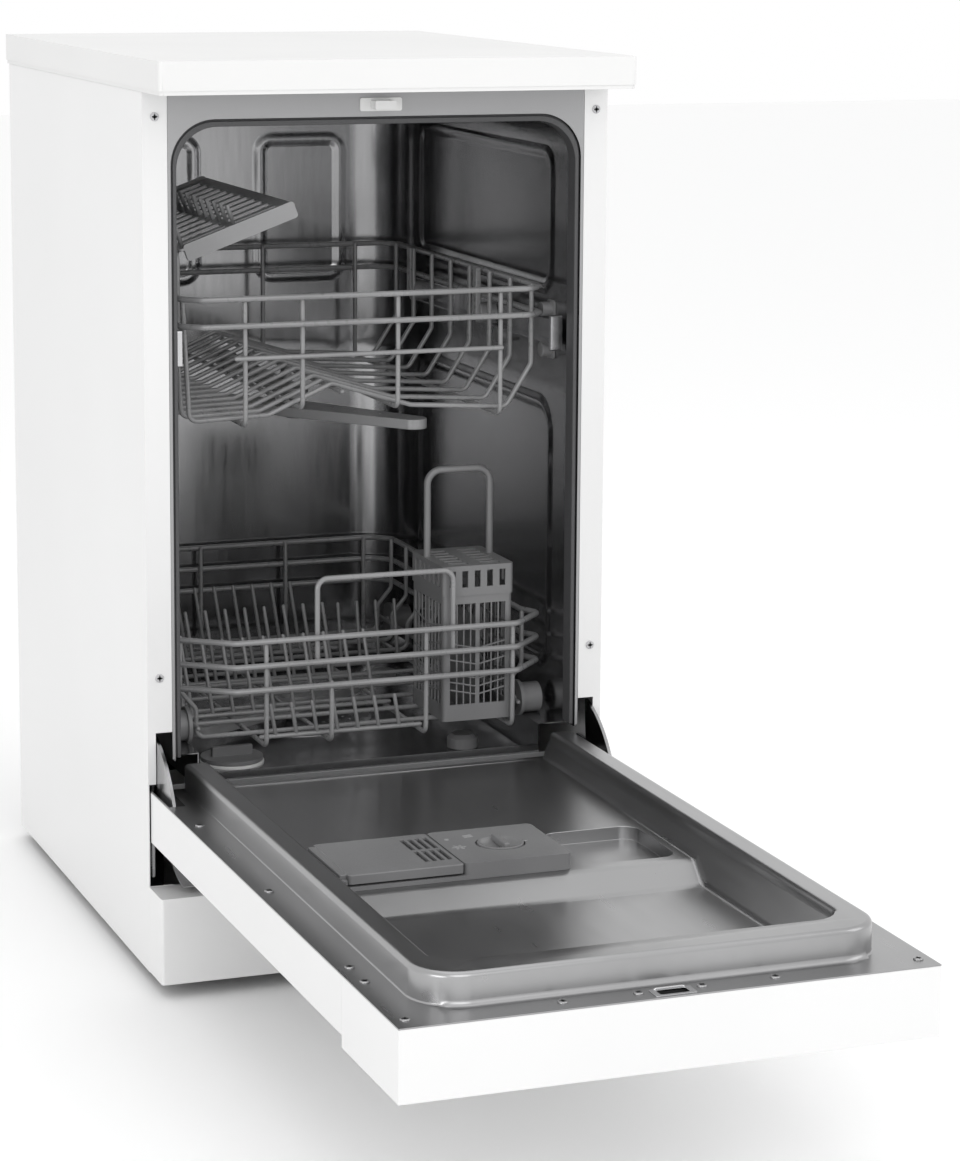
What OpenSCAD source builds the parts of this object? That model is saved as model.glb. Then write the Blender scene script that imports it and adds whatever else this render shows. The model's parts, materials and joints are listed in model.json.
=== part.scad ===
// Slim freestanding dishwasher, drawn with the door open and both racks pushed in.
// Millimetres. +Z up, +X to the right of someone who faces it, front towards -Y.
// The origin is the centre of the cabinet's footprint, on the floor.

/* [Cabinet] */
// Height from the floor to the top of the worktop
height = 850; // [830:1:880]
// Width of the worktop
worktop_w = 450; // [440:1:500]
// Depth of the worktop
worktop_d = 600; // [590:1:640]
// Thickness of the worktop
worktop_t = 30; // [20:1:40]
// Radius of the worktop's upright corners
worktop_corner_r = 4; // [2:0.5:12]
// How far the worktop stands out past each side panel
worktop_side = 2; // [1:0.5:8]
// How far the worktop stands out past the front flanges, room for the door
door_space = 65; // [62:1:80]
// How far the worktop stands out past the back of the side panels
worktop_back = 8; // [2:1:15]
// Thickness of the painted steel sheet
sheet = 1; // [0.6:0.1:1.5]
// Width of the folded front flange of a side panel
flange_w = 23; // [18:1:26]
// Width of the folded rear flange of a side panel
rear_flange_w = 14; // [8:1:20]
// Height of the cabinet's lower edge above the floor
floor_gap = 12; // [10:1:20]
// Height of the recess for the hoses at the back
rear_recess_h = 118; // [100:1:140]
// Depth of the recess for the hoses at the back
rear_recess_d = 22; // [15:1:30]

/* [Plinth and base] */
// Height of the plinth's upper edge above the floor
plinth_top = 94; // [85:1:100]
// How far the plinth's face stands out in front of the flanges
plinth_out = 43; // [30:1:55]
// Wall of the moulded base tray
tray_wall = 2.5; // [2:0.1:4]
// Height of the base tray's side walls
tray_h = 46; // [35:1:60]
// Distance of the feet from the cabinet's side
foot_side = 33; // [28:1:45]
// Distance of the front feet behind the flanges
foot_front = 34; // [28:1:60]
// Radius of a levelling foot's pad
foot_pad_r = 17; // [12:0.5:20]
// Radius of a levelling foot's threaded stem
foot_stem_r = 5; // [4:0.5:6]
// Length of a levelling foot's threaded stem
foot_stem_l = 44; // [36:1:50]

/* [Tub] */
// Space between a side panel and the tub's wall
tub_side = 29; // [27:0.5:34]
// Space behind the tub for the riser pipe
tub_rear = 30; // [26:1:36]
// Height of the tub's floor above the ground
tub_floor = 174; // [168:1:178]
// Gap between the worktop's underside and the door opening
collar_top_h = 25; // [20:1:32]
// How far the opening flares out past the tub's walls, for the seal
flare = 3; // [2:0.5:3]
// Depth of the flare for the seal
flare_d = 20; // [16:1:24]
// Wall of the tub
tub_wall = 1; // [0.8:0.1:1.5]
// Radius of the tub's corners at the opening
tub_corner_r = 38; // [30:1:50]
// Radius of the tub's rear upright corners
tub_rear_r = 58; // [40:1:70]
// Width of the ledge that the lower rack rolls on
ledge_w = 25.5; // [22:0.5:28]
// Width of a pressed bead in the tub's walls
bead_w = 6; // [4:0.5:9]
// Height of a pressed bead
bead_h = 1.6; // [1:0.1:2.5]
// Gap between the seal's lip and the side of the door's rim
seal_gap = 0.5; // [0.4:0.1:1]
// Gap between the seal's lip and the top of the door's rim, which swings in from above
seal_top_gap = 2.2; // [2:0.1:3]

/* [Door] */
// Height of the closed door's lower edge above the floor
door_low = 130; // [126:1:140]
// Thickness of the door from inner sheet to painted face
door_t = 48; // [44:1:50]
// How much thicker the control panel is than the door
panel_step = 10; // [6:1:12]
// Height of the control panel
control_h = 131; // [110:1:140]
// Wall of the moulded control panel
control_wall = 2.5; // [2:0.1:3]
// Height of the inner sheet above the floor when the door is open
door_open_z = 184; // [182:1:188]
// Gap between the closed door's inner sheet and the front flanges
door_gap = 3; // [2.5:0.1:4]
// Gap between the side of the door and the side of the cabinet
door_side_gap = 2; // [1.5:0.5:4]
// Height of the raised rim over the door's inner sheet
rim_h = 26; // [22:1:28]
// Width of the rim's flat top along the sides
rim_w = 22.5; // [20:0.5:24]
// Width of the rim's flat top across the free end
rim_end_w = 29; // [20:1:34]
// Distance from the free end of the door to the rim
rim_end = 30; // [29:1:40]
// Depth of the pan's lower floor under the inner sheet
pan_depth = 14; // [8:1:20]
// Distance from the dispenser to the step in the pan's floor
pan_step_gap = 6; // [4:1:12]
// Length of the step down
pan_step_l = 34; // [20:1:50]
// Length of the slope at the pan's far end
pan_slope_l = 90; // [70:1:110]
// Depth of the scoop beside the dispenser
scoop_depth = 12; // [6:1:16]
// Clearance of the curved front panel round the swinging door
sweep_clear = 1.6; // [1:0.1:3]

/* [Hinges] */
// Radius of the hinge pin
hinge_pin_r = 5; // [4:0.5:6]
// Running clearance of the hinge pin
hinge_play = 0.06; // [0.02:0.01:0.1]
// Thickness of a hinge arm
arm_t = 3; // [2:0.1:3]
// Thickness of a hinge bracket
bracket_t = 2.5; // [2:0.1:2.5]
// Height of the hinge arm's blade over the open door's inner sheet
blade_h = 50; // [40:1:54]
// Width of the strap inside the door
strap_w = 22; // [16:1:26]
// Length of the strap inside the door
strap_l = 160; // [100:1:200]

/* [Dispenser] */
// Width of the dispenser across the door
disp_w = 204; // [180:1:206]
// Length of the dispenser along the door
disp_l = 98; // [90:1:100]
// Distance of the dispenser from the rim's inner side
disp_side = 13.5; // [13:0.5:18]
// Distance from the hinge end of the door to the dispenser
disp_s = 258; // [250:1:262]
// Height of the dispenser over the pan
disp_h = 14; // [12:1:14]
// Width of the detergent lid
lid_w = 108; // [90:1:112]
// Radius of the pin the flap turns on
lid_pin_r = 1.4; // [1:0.1:1.6]
// Radius of the rinse aid cap
cap_r = 20; // [16:1:22]

/* [Racks] */
// Radius of the thick rim wires
rim_wire_r = 2.8; // [2:0.1:3]
// Radius of the other wires
wire_r = 2.3; // [1.8:0.1:2.4]
// Radius of the tines
tine_r = 1.9; // [1.6:0.1:2.2]
// How far a crossing wire is pressed into the one it is welded to
weld = 0.5; // [0.3:0.1:0.8]
// Space between the door's rim and the side of a rack
rack_side = 15; // [13:1:20]
// Distance from the front flanges to the racks
rack_front = 32; // [31:1:36]
// Space between the lower rack and the tub's rear wall
low_rear = 9; // [7:1:20]
// Height of the lower rack's floor wires over the floor
low_floor = 211; // [210.5:0.5:214]
// Height of the lower rack's top rim over the floor
low_top = 308; // [300:1:312]
// Step between the lower rack's rims
rim_step = 23; // [20:1:25]
// How far the lower rack's floor is set in from its sides
low_in = 20; // [19:1:26]
// Number of cross wires of the lower rack
low_cross = 9; // [7:1:10]
// Space between the upper rack and the tub's rear wall
up_rear = 25; // [22:1:40]
// Space from the upper rack's top rim to the tub's ceiling
up_room = 163; // [158:1:175]
// Height of the upper rack's sides
up_high = 115; // [111:1:118]
// Number of cross wires of the upper rack
up_cross = 15; // [11:2:17]

/* [Wheels] */
// Radius of a wheel's tread
wheel_r = 14.5; // [13:0.5:15]
// Radius of a wheel's guide flange
wheel_flange_r = 17.5; // [16.5:0.5:18]
// Radius of a wheel's axle
axle_r = 3; // [2.5:0.1:4]
// Running clearance of a turning part on its pin
play = 0.08; // [0.03:0.01:0.1]

/* [Cutlery basket] */
// Width of the cutlery basket
basket_w = 70; // [60:1:74]
// Depth of the cutlery basket
basket_d = 88; // [70:1:92]
// Height of the cutlery basket's body
basket_h = 122; // [110:1:130]
// Height of the basket's cover
cover_h = 29; // [24:1:34]
// Height of the handle over the cover
handle_h = 84; // [70:1:90]
// Wall of the basket
basket_wall = 2; // [1.6:0.1:3]

/* [Cup shelf and rails] */
// How far the cup shelf is set in from the upper rack's ends, both together
shelf_in = 140; // [130:1:180]
// Width of the cup shelf
shelf_w = 124; // [100:1:126]
// Tilt of the cup shelf at rest
shelf_tilt = 20; // [15:1:24]
// Height of the cup shelf's pivot wire over the top rim
shelf_pivot_h = 38; // [34:1:42]
// Distance of the rails' middle below the upper rack's top rim
rail_down = 43; // [40:1:46]
// Height of a rail
rail_h = 24; // [22:1:26]
// How much shorter than the upper rack its rails are
rail_in = 40; // [30:1:60]

/* [Spray arms] */
// Space between the tip of a spray arm and the tub's wall
arm_side = 34; // [32:1:50]
// Width of a spray arm at its hub
arm_w = 44; // [36:1:50]
// Thickness of a spray arm
spray_t = 10; // [8:1:11]

/* [Hidden] */
$fn = 48;

// Colours as the photograph shows them
white = [0.95, 0.95, 0.95];
steel = [0.62, 0.62, 0.62];
grey = [0.45, 0.45, 0.45];
dark = [0.18, 0.18, 0.18];

// Main planes
seat = 0.3;
half = worktop_w / 2 - worktop_side;
front = -worktop_d / 2;
flange_y = front + door_space;
back = worktop_d / 2 - worktop_back;
top = height - worktop_t;
tub_half = half - tub_side;
tub_back = back - tub_rear;
tub_d = tub_back - flange_y;
open_top = top - collar_top_h;
open_half = tub_half + flare;
flange_screw_z = [for (share = [0.027, 0.657]) top - (top - floor_gap) * share];
tub_top = open_top - flare;

// Door: hinge end when open, inner plane and lower edge when closed, and the pivot between them
open_end = flange_y - 0.6;
closed_y = flange_y - door_gap;
door_l = top - 4 - door_low;
pivot_z = (door_low + open_end + door_open_z - closed_y) / 2;
pivot_y = (door_low + open_end - door_open_z + closed_y) / 2;
door_half = half - door_side_gap;
control_s = door_l - control_h;
rim_half = tub_half - 3;
rim_s0 = 8;
rim_s1 = door_l - rim_end;
rim_inner = rim_half - rim_w;
disp_x = disp_side - rim_inner;
pan_step_s = disp_s + disp_l + pan_step_gap;
pan_slope_s = rim_s1 - rim_end_w - pan_slope_l;
sill_y = closed_y + rim_h + 1.6;
sill_z = door_open_z + 6;
track_z = door_open_z + rim_h;
sweep_r = norm([open_end - rim_s0 - pivot_y, track_z - pivot_z]) + sweep_clear;
sweep_top = pivot_z + sqrt(pow(sweep_r, 2) - pow(closed_y + rim_h + 0.4 - pivot_y, 2));

// Feet, at the corners of a rectangle about the origin
foot_x = half - foot_side;
foot_y = -flange_y - foot_front;

// Hinge planes, measured from the middle of the cabinet
bracket_x = half - 4 - bracket_t;
arm_x = bracket_x - 1.5 - arm_t;
notch_x0 = arm_x - 8;
notch_x1 = bracket_x + bracket_t + 0.5;
notch_s = 58;
slot_top = door_open_z + blade_h + 4;

// Racks
rack_y0 = flange_y + rack_front;
rack_half = rim_half - rack_side;
low_half = rack_half - low_in;
low_y1 = tub_back - low_rear;
low_depth = low_y1 - rack_y0;
up_y1 = tub_back - up_rear;
up_depth = up_y1 - rack_y0;
up_top = tub_top - up_room;
up_floor = up_top - up_high;
rail_z = up_top - rail_down;
rail_l = up_depth - rail_in;
shelf_l = up_depth - shelf_in;
arm_l = tub_half - arm_side;
long_z = low_floor - 2 * wire_r + weld;
axle_z = track_z + wheel_r + 0.05;
wheel_y = [for (share = [0.09, 0.31, 0.7, 0.92]) rack_y0 + low_depth * share];
wheel_out = rim_half - 4;
disc_out = rim_inner - 0.5;
disc_in = disc_out - 3.5;
rail_wire_x = low_half + 2 * wire_r - weld;
arm_y = rack_y0 + low_depth / 2;

// Rounded rectangle about its centre
module rounded(w, l, r) {
    square([w, l - 2 * r], center = true);
    square([w - 2 * r, l], center = true);
    for (x = [-1, 1], y = [-1, 1])
        translate([x * (w / 2 - r), y * (l / 2 - r)]) circle(r);
}

// Rounded bar from a low corner to a high corner
module slab(low, high, r) {
    translate([(low[0] + high[0]) / 2, (low[1] + high[1]) / 2, low[2]])
        linear_extrude(high[2] - low[2]) rounded(high[0] - low[0], high[1] - low[1], r);
}

// Plain block from a low corner to a high corner
module block(low, high) {
    translate(low) cube(high - low);
}

module both_sides() {
    children();
    mirror([1, 0, 0]) children();
}

// Profile in Y and Z, extruded along X from x0 to x1
module side_cut(x0, x1) {
    translate([x0, 0, 0]) rotate([90, 0, 90]) linear_extrude(x1 - x0) children();
}

// Profile in X and Z, extruded along Y from y0 to y1
module front_cut(y0, y1) {
    translate([0, y1, 0]) rotate([90, 0, 0]) linear_extrude(y1 - y0) children();
}

// Cylinder along X, along Y
module pin_x(x0, x1, y, z, r) {
    translate([x0, y, z]) rotate([0, 90, 0]) cylinder(r = r, h = x1 - x0);
}

module pin_y(x, y0, y1, z, r) {
    translate([x, y0, z]) rotate([-90, 0, 0]) cylinder(r = r, h = y1 - y0);
}

// Place on the open door: x across, s from the hinge end towards the free end, h over the inner sheet
module on_door() {
    translate([0, open_end, door_open_z]) mirror([0, 1, 0]) children();
}

// Bent wires
function unit(v) = v / norm(v);
function turn_angle(a, b, c) = acos(max(-1, min(1, unit(b - a) * unit(c - b))));
function bend_cut(a, b, c, bend) = bend * tan(turn_angle(a, b, c) / 2);

// Straight round bar
module rod(a, b, r) {
    d = b - a;
    translate(a) rotate([0, acos(d[2] / norm(d)), atan2(d[1], d[0])])
        cylinder(r = r, h = norm(d), $fn = 24);
}

// Bend of a round bar at the corner b of the path a, b, c
module elbow(a, b, c, r, bend) {
    u = unit(b - a);
    n = unit(cross(u, unit(c - b)));
    w = cross(n, u);
    o = b - u * bend_cut(a, b, c, bend) + w * bend;
    multmatrix([[-w[0], u[0], n[0], o[0]], [-w[1], u[1], n[1], o[1]], [-w[2], u[2], n[2], o[2]]])
        rotate_extrude(angle = turn_angle(a, b, c), $fn = 24) translate([bend, 0]) circle(r);
}

// One unbroken wire along a list of points, its bends a hair thicker so that they fuse
module wire(points, r, bend) {
    last = len(points) - 1;
    lap = 0.3;
    cuts = [for (i = [0 : last]) i == 0 || i == last ? 0
        : bend_cut(points[i - 1], points[i], points[i + 1], bend) - lap];
    for (i = [1 : last]) {
        u = unit(points[i] - points[i - 1]);
        rod(points[i - 1] + u * cuts[i - 1], points[i] - u * cuts[i], r);
    }
    for (i = [1 : last - 1])
        elbow(points[i - 1], points[i], points[i + 1], r + 0.03, bend);
}

module worktop() {
    color(white) {
        slab([-worktop_w / 2, front, top + 4], [worktop_w / 2, worktop_d / 2, height],
            worktop_corner_r);
        slab([-worktop_w / 2 + 1, front + 1, top + seat],
            [worktop_w / 2 - 1, worktop_d / 2 - 1, top + 4], worktop_corner_r);
    }
}

// Side panel: one sheet folded round the front, the back and the top
module side_panel(side) {
    color(white) mirror([side < 0 ? 0 : 1, 0, 0]) difference() {
        block([-half, flange_y, floor_gap], [-half + flange_w, back, top]);
        block([-half + sheet, flange_y + sheet, floor_gap - 1], [0, back - sheet, top - sheet]);
        block([-half + rear_flange_w, flange_y + sheet, floor_gap - 1], [0, back + 1, top + 1]);
        block([-arm_x - arm_t - 0.5, flange_y - 1, plinth_top], [0, flange_y + 2, slot_top]);
        block([-half + sheet, flange_y - 1, plinth_top], [0, flange_y + 2, door_open_z + 6]);
        for (z = flange_screw_z)
            pin_y(-half + flange_w / 2, flange_y - 1, flange_y + 2, z, 2.2);
    }
}

module side_panel_left() { side_panel(-1); }

module side_panel_right() { side_panel(1); }

// Heads of the four flange screws and their shanks
module panel_screws() {
    color(white) both_sides()
        for (z = flange_screw_z) {
            pin_y(-half + flange_w / 2, flange_y - 1.2, flange_y - 0.05, z, 4);
            pin_y(-half + flange_w / 2, flange_y - 0.1, flange_y + 9, z, 1.9);
        }
}

// Rear sheet with two pressed fields, ending above the hose recess
module back_panel() {
    inside = half - sheet - seat;
    y1 = back - sheet - seat;
    low = rear_recess_h + 4;
    field_h = (top - low) / 2 - 50;
    color(steel) {
        block([-inside, y1 - sheet, low], [inside, y1, top - sheet - seat]);
        for (i = [0, 1])
            front_cut(y1 - sheet - 2, y1 - sheet + 0.2)
                translate([0, low + 40 + field_h / 2 + i * (field_h + 20)])
                    difference() {
                        rounded(2 * inside - 80, field_h, 12);
                        rounded(2 * inside - 100, field_h - 20, 8);
                    }
    }
}

function foot_places() = [for (y = [-1, 1], x = [-1, 1]) [x * foot_x, y * foot_y]];

// Moulded drip tray that carries the feet, with the hose recess at its back
module base_tray() {
    x = half - sheet - seat;
    y0 = flange_y + sheet + seat;
    y1 = back - sheet - seat;
    boss_top = floor_gap + foot_stem_l - 4;
    color(dark) difference() {
        union() {
            difference() {
                slab([-x, y0, floor_gap], [x, y1, floor_gap + tray_h], 6);
                slab([-x + tray_wall, y0 + tray_wall, floor_gap + tray_wall],
                    [x - tray_wall, y1 - tray_wall, floor_gap + tray_h + 1], 4);
            }
            for (p = foot_places())
                translate([p[0], p[1], floor_gap]) cylinder(r = foot_stem_r + 6, h = boss_top - floor_gap);
            block([-x, y1 - rear_recess_d - tray_wall, floor_gap], [x, y1 - rear_recess_d, rear_recess_h]);
            for (side = [-1, 1])
                block([side < 0 ? -x : x - tray_wall, y1 - rear_recess_d - 30, floor_gap],
                    [side < 0 ? -x + tray_wall : x, y1 - rear_recess_d, rear_recess_h]);
        }
        for (p = foot_places())
            translate([p[0], p[1], floor_gap - 1]) cylinder(r = foot_stem_r + play, h = foot_stem_l + 2);
        block([-x - 1, y1 - rear_recess_d, floor_gap + tray_wall], [x + 1, y1 + 1, floor_gap + tray_h + 1]);
        pin_y(inlet_x, y1 - 40, y1 + 1, inlet_z, 11.2);
        pin_y(drain_x, y1 - 40, y1 + 1, inlet_z, 14.6);
    }
}

inlet_x = 73 - half;
drain_x = half - 83;
inlet_z = 88;
stub_r = 13.2;

module foot(i) {
    p = foot_places()[i];
    color(dark) {
        translate([p[0], p[1], 0]) cylinder(r = foot_pad_r, h = 5);
        translate([p[0], p[1], 5]) cylinder(r = foot_pad_r - 5, h = floor_gap - 5.3, $fn = 6);
        translate([p[0], p[1], floor_gap - 1]) cylinder(r = foot_stem_r, h = foot_stem_l - 6);
    }
}

module foot_front_left() { foot(0); }

module foot_front_right() { foot(1); }

module foot_rear_left() { foot(2); }

module foot_rear_right() { foot(3); }

// Kick plate: a painted sheet that wraps back to the flanges, with a folded top
module plinth() {
    y0 = flange_y - plinth_out;
    y1 = flange_y - 0.2;
    z0 = floor_gap + 1;
    color(white) difference() {
        slab([-half, y0, z0], [half, y1 + 8, plinth_top - seat], 3);
        slab([-half + sheet, y0 + sheet, z0 - 1], [half - sheet, y1 + 20, plinth_top - seat - sheet], 2);
        block([-half - 1, y1, z0 - 1], [half + 1, y1 + 20, plinth_top + 1]);
    }
}

// The tub's inner space, grown by g on every side
module tub_space(g) {
    w = tub_half + g;
    z0 = tub_floor - g;
    z1 = tub_top + g;
    y1 = tub_back + g;
    zc = (z0 + z1) / 2;
    intersection() {
        front_cut(flange_y, y1) translate([0, zc]) rounded(2 * w, z1 - z0, tub_corner_r + g);
        translate([0, 0, z0]) linear_extrude(z1 - z0) union() {
            translate([-w, flange_y - 1]) square([2 * w, y1 - flange_y + 1 - tub_rear_r]);
            translate([0, y1 - tub_rear_r - 10]) rounded_back(w, tub_rear_r + g);
        }
        side_cut(-w, w) union() {
            translate([flange_y - 1, z0]) square([y1 - flange_y + 1 - 24, z1 - z0]);
            translate([flange_y - 1, z0 + 24]) square([y1 - flange_y + 1, z1 - z0 - 48]);
            for (z = [z0 + 24, z1 - 24])
                translate([y1 - 24, z]) circle(24);
        }
    }
}

// Rear end of the tub's plan, with round corners of radius r
module rounded_back(w, r) {
    depth = tub_rear_r + 10 + (r - tub_rear_r);
    translate([-w, 0]) square([2 * w, depth - r]);
    translate([-w + r, 0]) square([2 * (w - r), depth]);
    for (x = [-1, 1])
        translate([x * (w - r), depth - r]) circle(r);
}

// Wheel ledges and the front below the sill, as the space that they take away from the tub
module ledge_space(g) {
    both_sides()
        block([tub_half - ledge_w + g, flange_y - 2, tub_floor - 20],
            [tub_half + 20, tub_back - tub_rear_r + 30 - g, track_z - g]);
    block([-half, flange_y - 5, 0], [half, sill_y - g, track_z - g]);
}

// Pressed bead: the outline of a rounded rectangle on a wall
module bead_ring(w, l, r) {
    difference() {
        rounded(w, l, r);
        rounded(w - 2 * bead_w, l - 2 * bead_w, r - bead_w);
    }
}

module tub() {
    lip = flare + 1;
    wall_z = (tub_top + track_z) / 2;
    upper_h = 150;
    color(steel) difference() {
        union() {
            difference() {
                union() {
                    difference() {
                        tub_space(tub_wall);
                        ledge_space(tub_wall);
                    }
                    front_cut(flange_y + sheet, flange_y + flare_d)
                        translate([0, (open_top + tub_floor) / 2])
                            rounded(2 * open_half + 2 * tub_wall, open_top - tub_floor + 2 * tub_wall,
                                tub_corner_r + lip);
                }
                difference() {
                    tub_space(0);
                    ledge_space(0);
                }
                front_cut(flange_y - 1, flange_y + flare_d - tub_wall) difference() {
                    translate([0, (open_top + tub_floor) / 2])
                        rounded(2 * open_half, open_top - tub_floor, tub_corner_r + flare);
                    translate([-open_half - 1, 0]) square([2 * open_half + 2, track_z]);
                }
                block([-half, flange_y - 1, 0], [half, sill_y - tub_wall, track_z + 0.1]);
                block([-rim_inner, flange_y - 1, sill_z], [rim_inner, sill_y + 0.1, track_z + 1]);
            }
            for (x = [-80, 80])
                front_cut(tub_back - bead_h, tub_back + tub_wall / 2)
                    translate([x, tub_top - 50 - upper_h / 2]) bead_ring(94, upper_h, 16);
            both_sides() {
                side_cut(tub_half - bead_h, tub_half + tub_wall / 2)
                    translate([(flange_y + tub_back) / 2, (tub_top - 34 + rail_z + 36) / 2])
                        bead_ring(tub_d - 120, tub_top - 70 - rail_z, 22);
                side_cut(tub_half - bead_h, tub_half + tub_wall / 2)
                    translate([(flange_y + tub_back) / 2, (track_z + rail_z) / 2 - 13])
                        bead_ring(tub_d - 120, rail_z - track_z - 116, 30);
            }
            translate([0, (flange_y + tub_back) / 2, tub_top - bead_h])
                linear_extrude(bead_h + tub_wall / 2) bead_ring(2 * tub_half - 130, tub_d - 150, 24);
        }
        pin_x(-half, half, pivot_y, pivot_z, sweep_r + sheet);
        translate([0, arm_y, tub_floor - 10]) cylinder(r = sump_r, h = 30);
        translate([salt_x, salt_y, tub_floor - 10]) cylinder(r = salt_r + 5, h = 30);
        translate([float_x, float_y, tub_floor - 10]) cylinder(r = 6, h = 30);
        pin_y(0, tub_back - 5, tub_back + 5, feed_z, 11.3);
    }
}

sump_r = 62;
arm_pin_r = 10;
salt_x = 84 - tub_half;
salt_y = flange_y + 115;
salt_r = 27;
float_x = tub_half - 76;
float_y = flange_y + 95;
feed_z = up_floor - 8;

// Painted band between the flanges and the opening
module tub_collar() {
    outer = half - flange_w - seat;
    color(grey) difference() {
        block([-outer, flange_y, track_z + 2], [outer, flange_y + sheet - 0.05, top - seat]);
        front_cut(flange_y - 1, flange_y + 2) difference() {
            translate([0, (open_top + tub_floor) / 2])
                rounded(2 * open_half, open_top - tub_floor, tub_corner_r + flare);
        }
    }
}

// Rubber seal in the flare, with a lip that follows the door's rim
module door_seal() {
    rim_top = door_low + rim_s1;
    low = track_z + 3;
    color(dark) difference() {
        union() {
            front_cut(flange_y + 3, flange_y + flare_d - tub_wall - 0.4) seal_band(0.2);
            front_cut(flange_y + 0.5, flange_y + 3) seal_band(2);
        }
        front_cut(flange_y, flange_y + flare_d)
            translate([0, (rim_top + seal_top_gap) / 2])
                rounded(2 * (rim_half + seal_gap), rim_top + seal_top_gap, tub_corner_r);
        block([-open_half, flange_y, 0], [open_half, flange_y + flare_d, low]);
    }
}

// The opening's outline down to the floor, drawn in by g
module seal_band(g) {
    translate([0, (open_top - g) / 2])
        rounded(2 * (open_half - g), open_top - g, tub_corner_r + flare - g);
}

// Moulded striker that the latch holds
module door_strike() {
    z = top - 14;
    y1 = flange_y - 0.05;
    color(white) {
        slab2([-20, z - 6], [20, z + 6], 2, y1 - 1.7, y1);
        difference() {
            slab2([-10, z - 4], [10, z + 4], 1.5, y1 - 15, y1 - 1);
            slab2([-6.5, z - 5], [6.5, z + 5], 1, y1 - 11.5, y1 - 3.5);
        }
    }
}

// Rounded plate in X and Z with a thickness along Y
module slab2(low, high, r, y0, y1) {
    front_cut(y0, y1) translate([(low[0] + high[0]) / 2, (low[1] + high[1]) / 2])
        rounded(high[0] - low[0], high[1] - low[1], r);
}

// Curved panel under the tub's sill that the swinging door clears
module sweep_panel() {
    x = half - flange_w - seat;
    low_y = flange_y - plinth_out + 10;
    color(grey) difference() {
        union() {
            pin_x(-x, x, pivot_y, pivot_z, sweep_r + sheet - 0.05);
            block([-x, low_y, pivot_z - sweep_r - sheet + 0.05], [x, pivot_y, pivot_z]);
        }
        pin_x(-x - 1, x + 1, pivot_y, pivot_z, sweep_r);
        block([-x - 1, low_y - 1, pivot_z - sweep_r], [x + 1, pivot_y, pivot_z + 1]);
        block([-x - 1, pivot_y - 100, pivot_z], [x + 1, pivot_y, pivot_z + 200]);
        block([-x - 1, pivot_y - 100, sweep_top], [x + 1, pivot_y + 100, sweep_top + 200]);
        block([-x - 1, pivot_y - 100, 0], [x + 1, low_y, pivot_z]);
    }
}

// Outline of a hinge bracket in Y and Z: an ear for the pin and a foot inside the cabinet
module bracket_outline() {
    translate([pivot_y, pivot_z]) circle(10);
    translate([pivot_y, pivot_z - 10]) square([flange_y + 20 - pivot_y, 20]);
    translate([flange_y + 3, plinth_top + 8]) square([40, door_open_z - plinth_top]);
}

// Bracket plates on the cabinet's sides, with pivot pin and rivet
module hinge_brackets() {
    color(steel) both_sides() {
        side_cut(bracket_x, bracket_x + bracket_t) bracket_outline();
        pin_x(arm_x - 2, bracket_x + 0.5, pivot_y, pivot_z, hinge_pin_r);
        pin_x(arm_x - 4, arm_x - 0.5, pivot_y, pivot_z, hinge_pin_r + 2.5);
        pin_x(bracket_x - 1, bracket_x + 0.2, flange_y + 8, pivot_z + 14, 5);
        block([bracket_x + bracket_t - 0.2, flange_y + 12, plinth_top + 14],
            [half - sheet - 0.05, flange_y + 36, plinth_top + 40]);
    }
}

// Arc from a to b that bulges by the given height to the left of a to b
function bow(a, b, height, steps) = [for (k = [0 : steps]) let (t = k / steps, d = b - a)
    a + d * t + [-d[1], d[0]] / norm(d) * height * 4 * t * (1 - t)];

// Hinge arms: a strap in the door's side, a pivot eye and a curved blade
module hinge_arms() {
    tip = [flange_y + 11, door_open_z + blade_h];
    toe = [open_end - notch_s + 2, door_open_z - 4];
    heel = [flange_y + 1, pivot_z];
    color(steel) both_sides() side_cut(arm_x, arm_x + arm_t) difference() {
        union() {
            translate([pivot_y, pivot_z]) circle(strap_w / 2);
            translate([open_end - strap_l, pivot_z - strap_w / 2])
                square([pivot_y - open_end + strap_l, strap_w]);
            polygon(concat(bow(toe, tip, 9, 12), bow(tip, heel, 3, 6),
                [[pivot_y, pivot_z - 6], [pivot_y - 26, pivot_z]]));
        }
        translate([pivot_y, pivot_z]) circle(hinge_pin_r + hinge_play);
        translate([tip[0] - 4, tip[1] - 12]) circle(1.6);
    }
    color(steel) both_sides() for (s = [80, strap_l - 12])
        pin_x(arm_x + arm_t - 0.5, door_half - sheet - 0.05, open_end - s, pivot_z, 6);
}

module sump() {
    color(grey) {
        difference() {
            union() {
                translate([0, arm_y, tub_floor - 70]) cylinder(r = sump_r - 0.6, h = 70);
                pin_x(sump_r - 12, sump_r + 2, arm_y + 20, tub_floor - 45, 16);
                pin_y(0, arm_y + sump_r - 10, arm_y + sump_r + 2, tub_floor - 34, 10);
            }
            translate([0, arm_y, tub_floor - 66]) cylinder(r = sump_r - 4, h = 80);
        }
        difference() {
            translate([0, arm_y, tub_floor - 4]) cylinder(r = sump_r + 8, h = 4 - tub_wall - 0.1);
            translate([0, arm_y, tub_floor - 10]) cylinder(r = sump_r - 4, h = 20);
        }
        translate([0, arm_y, tub_floor - 69]) cylinder(r = 13, h = 69);
        translate([0, arm_y, tub_floor - 1]) cylinder(r = arm_pin_r, h = 19.5);
        for (x = [-40, 40])
            block([x - 5, arm_y - 5, floor_gap + tray_wall + 0.05], [x + 5, arm_y + 5, tub_floor - 69]);
    }
}

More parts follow.
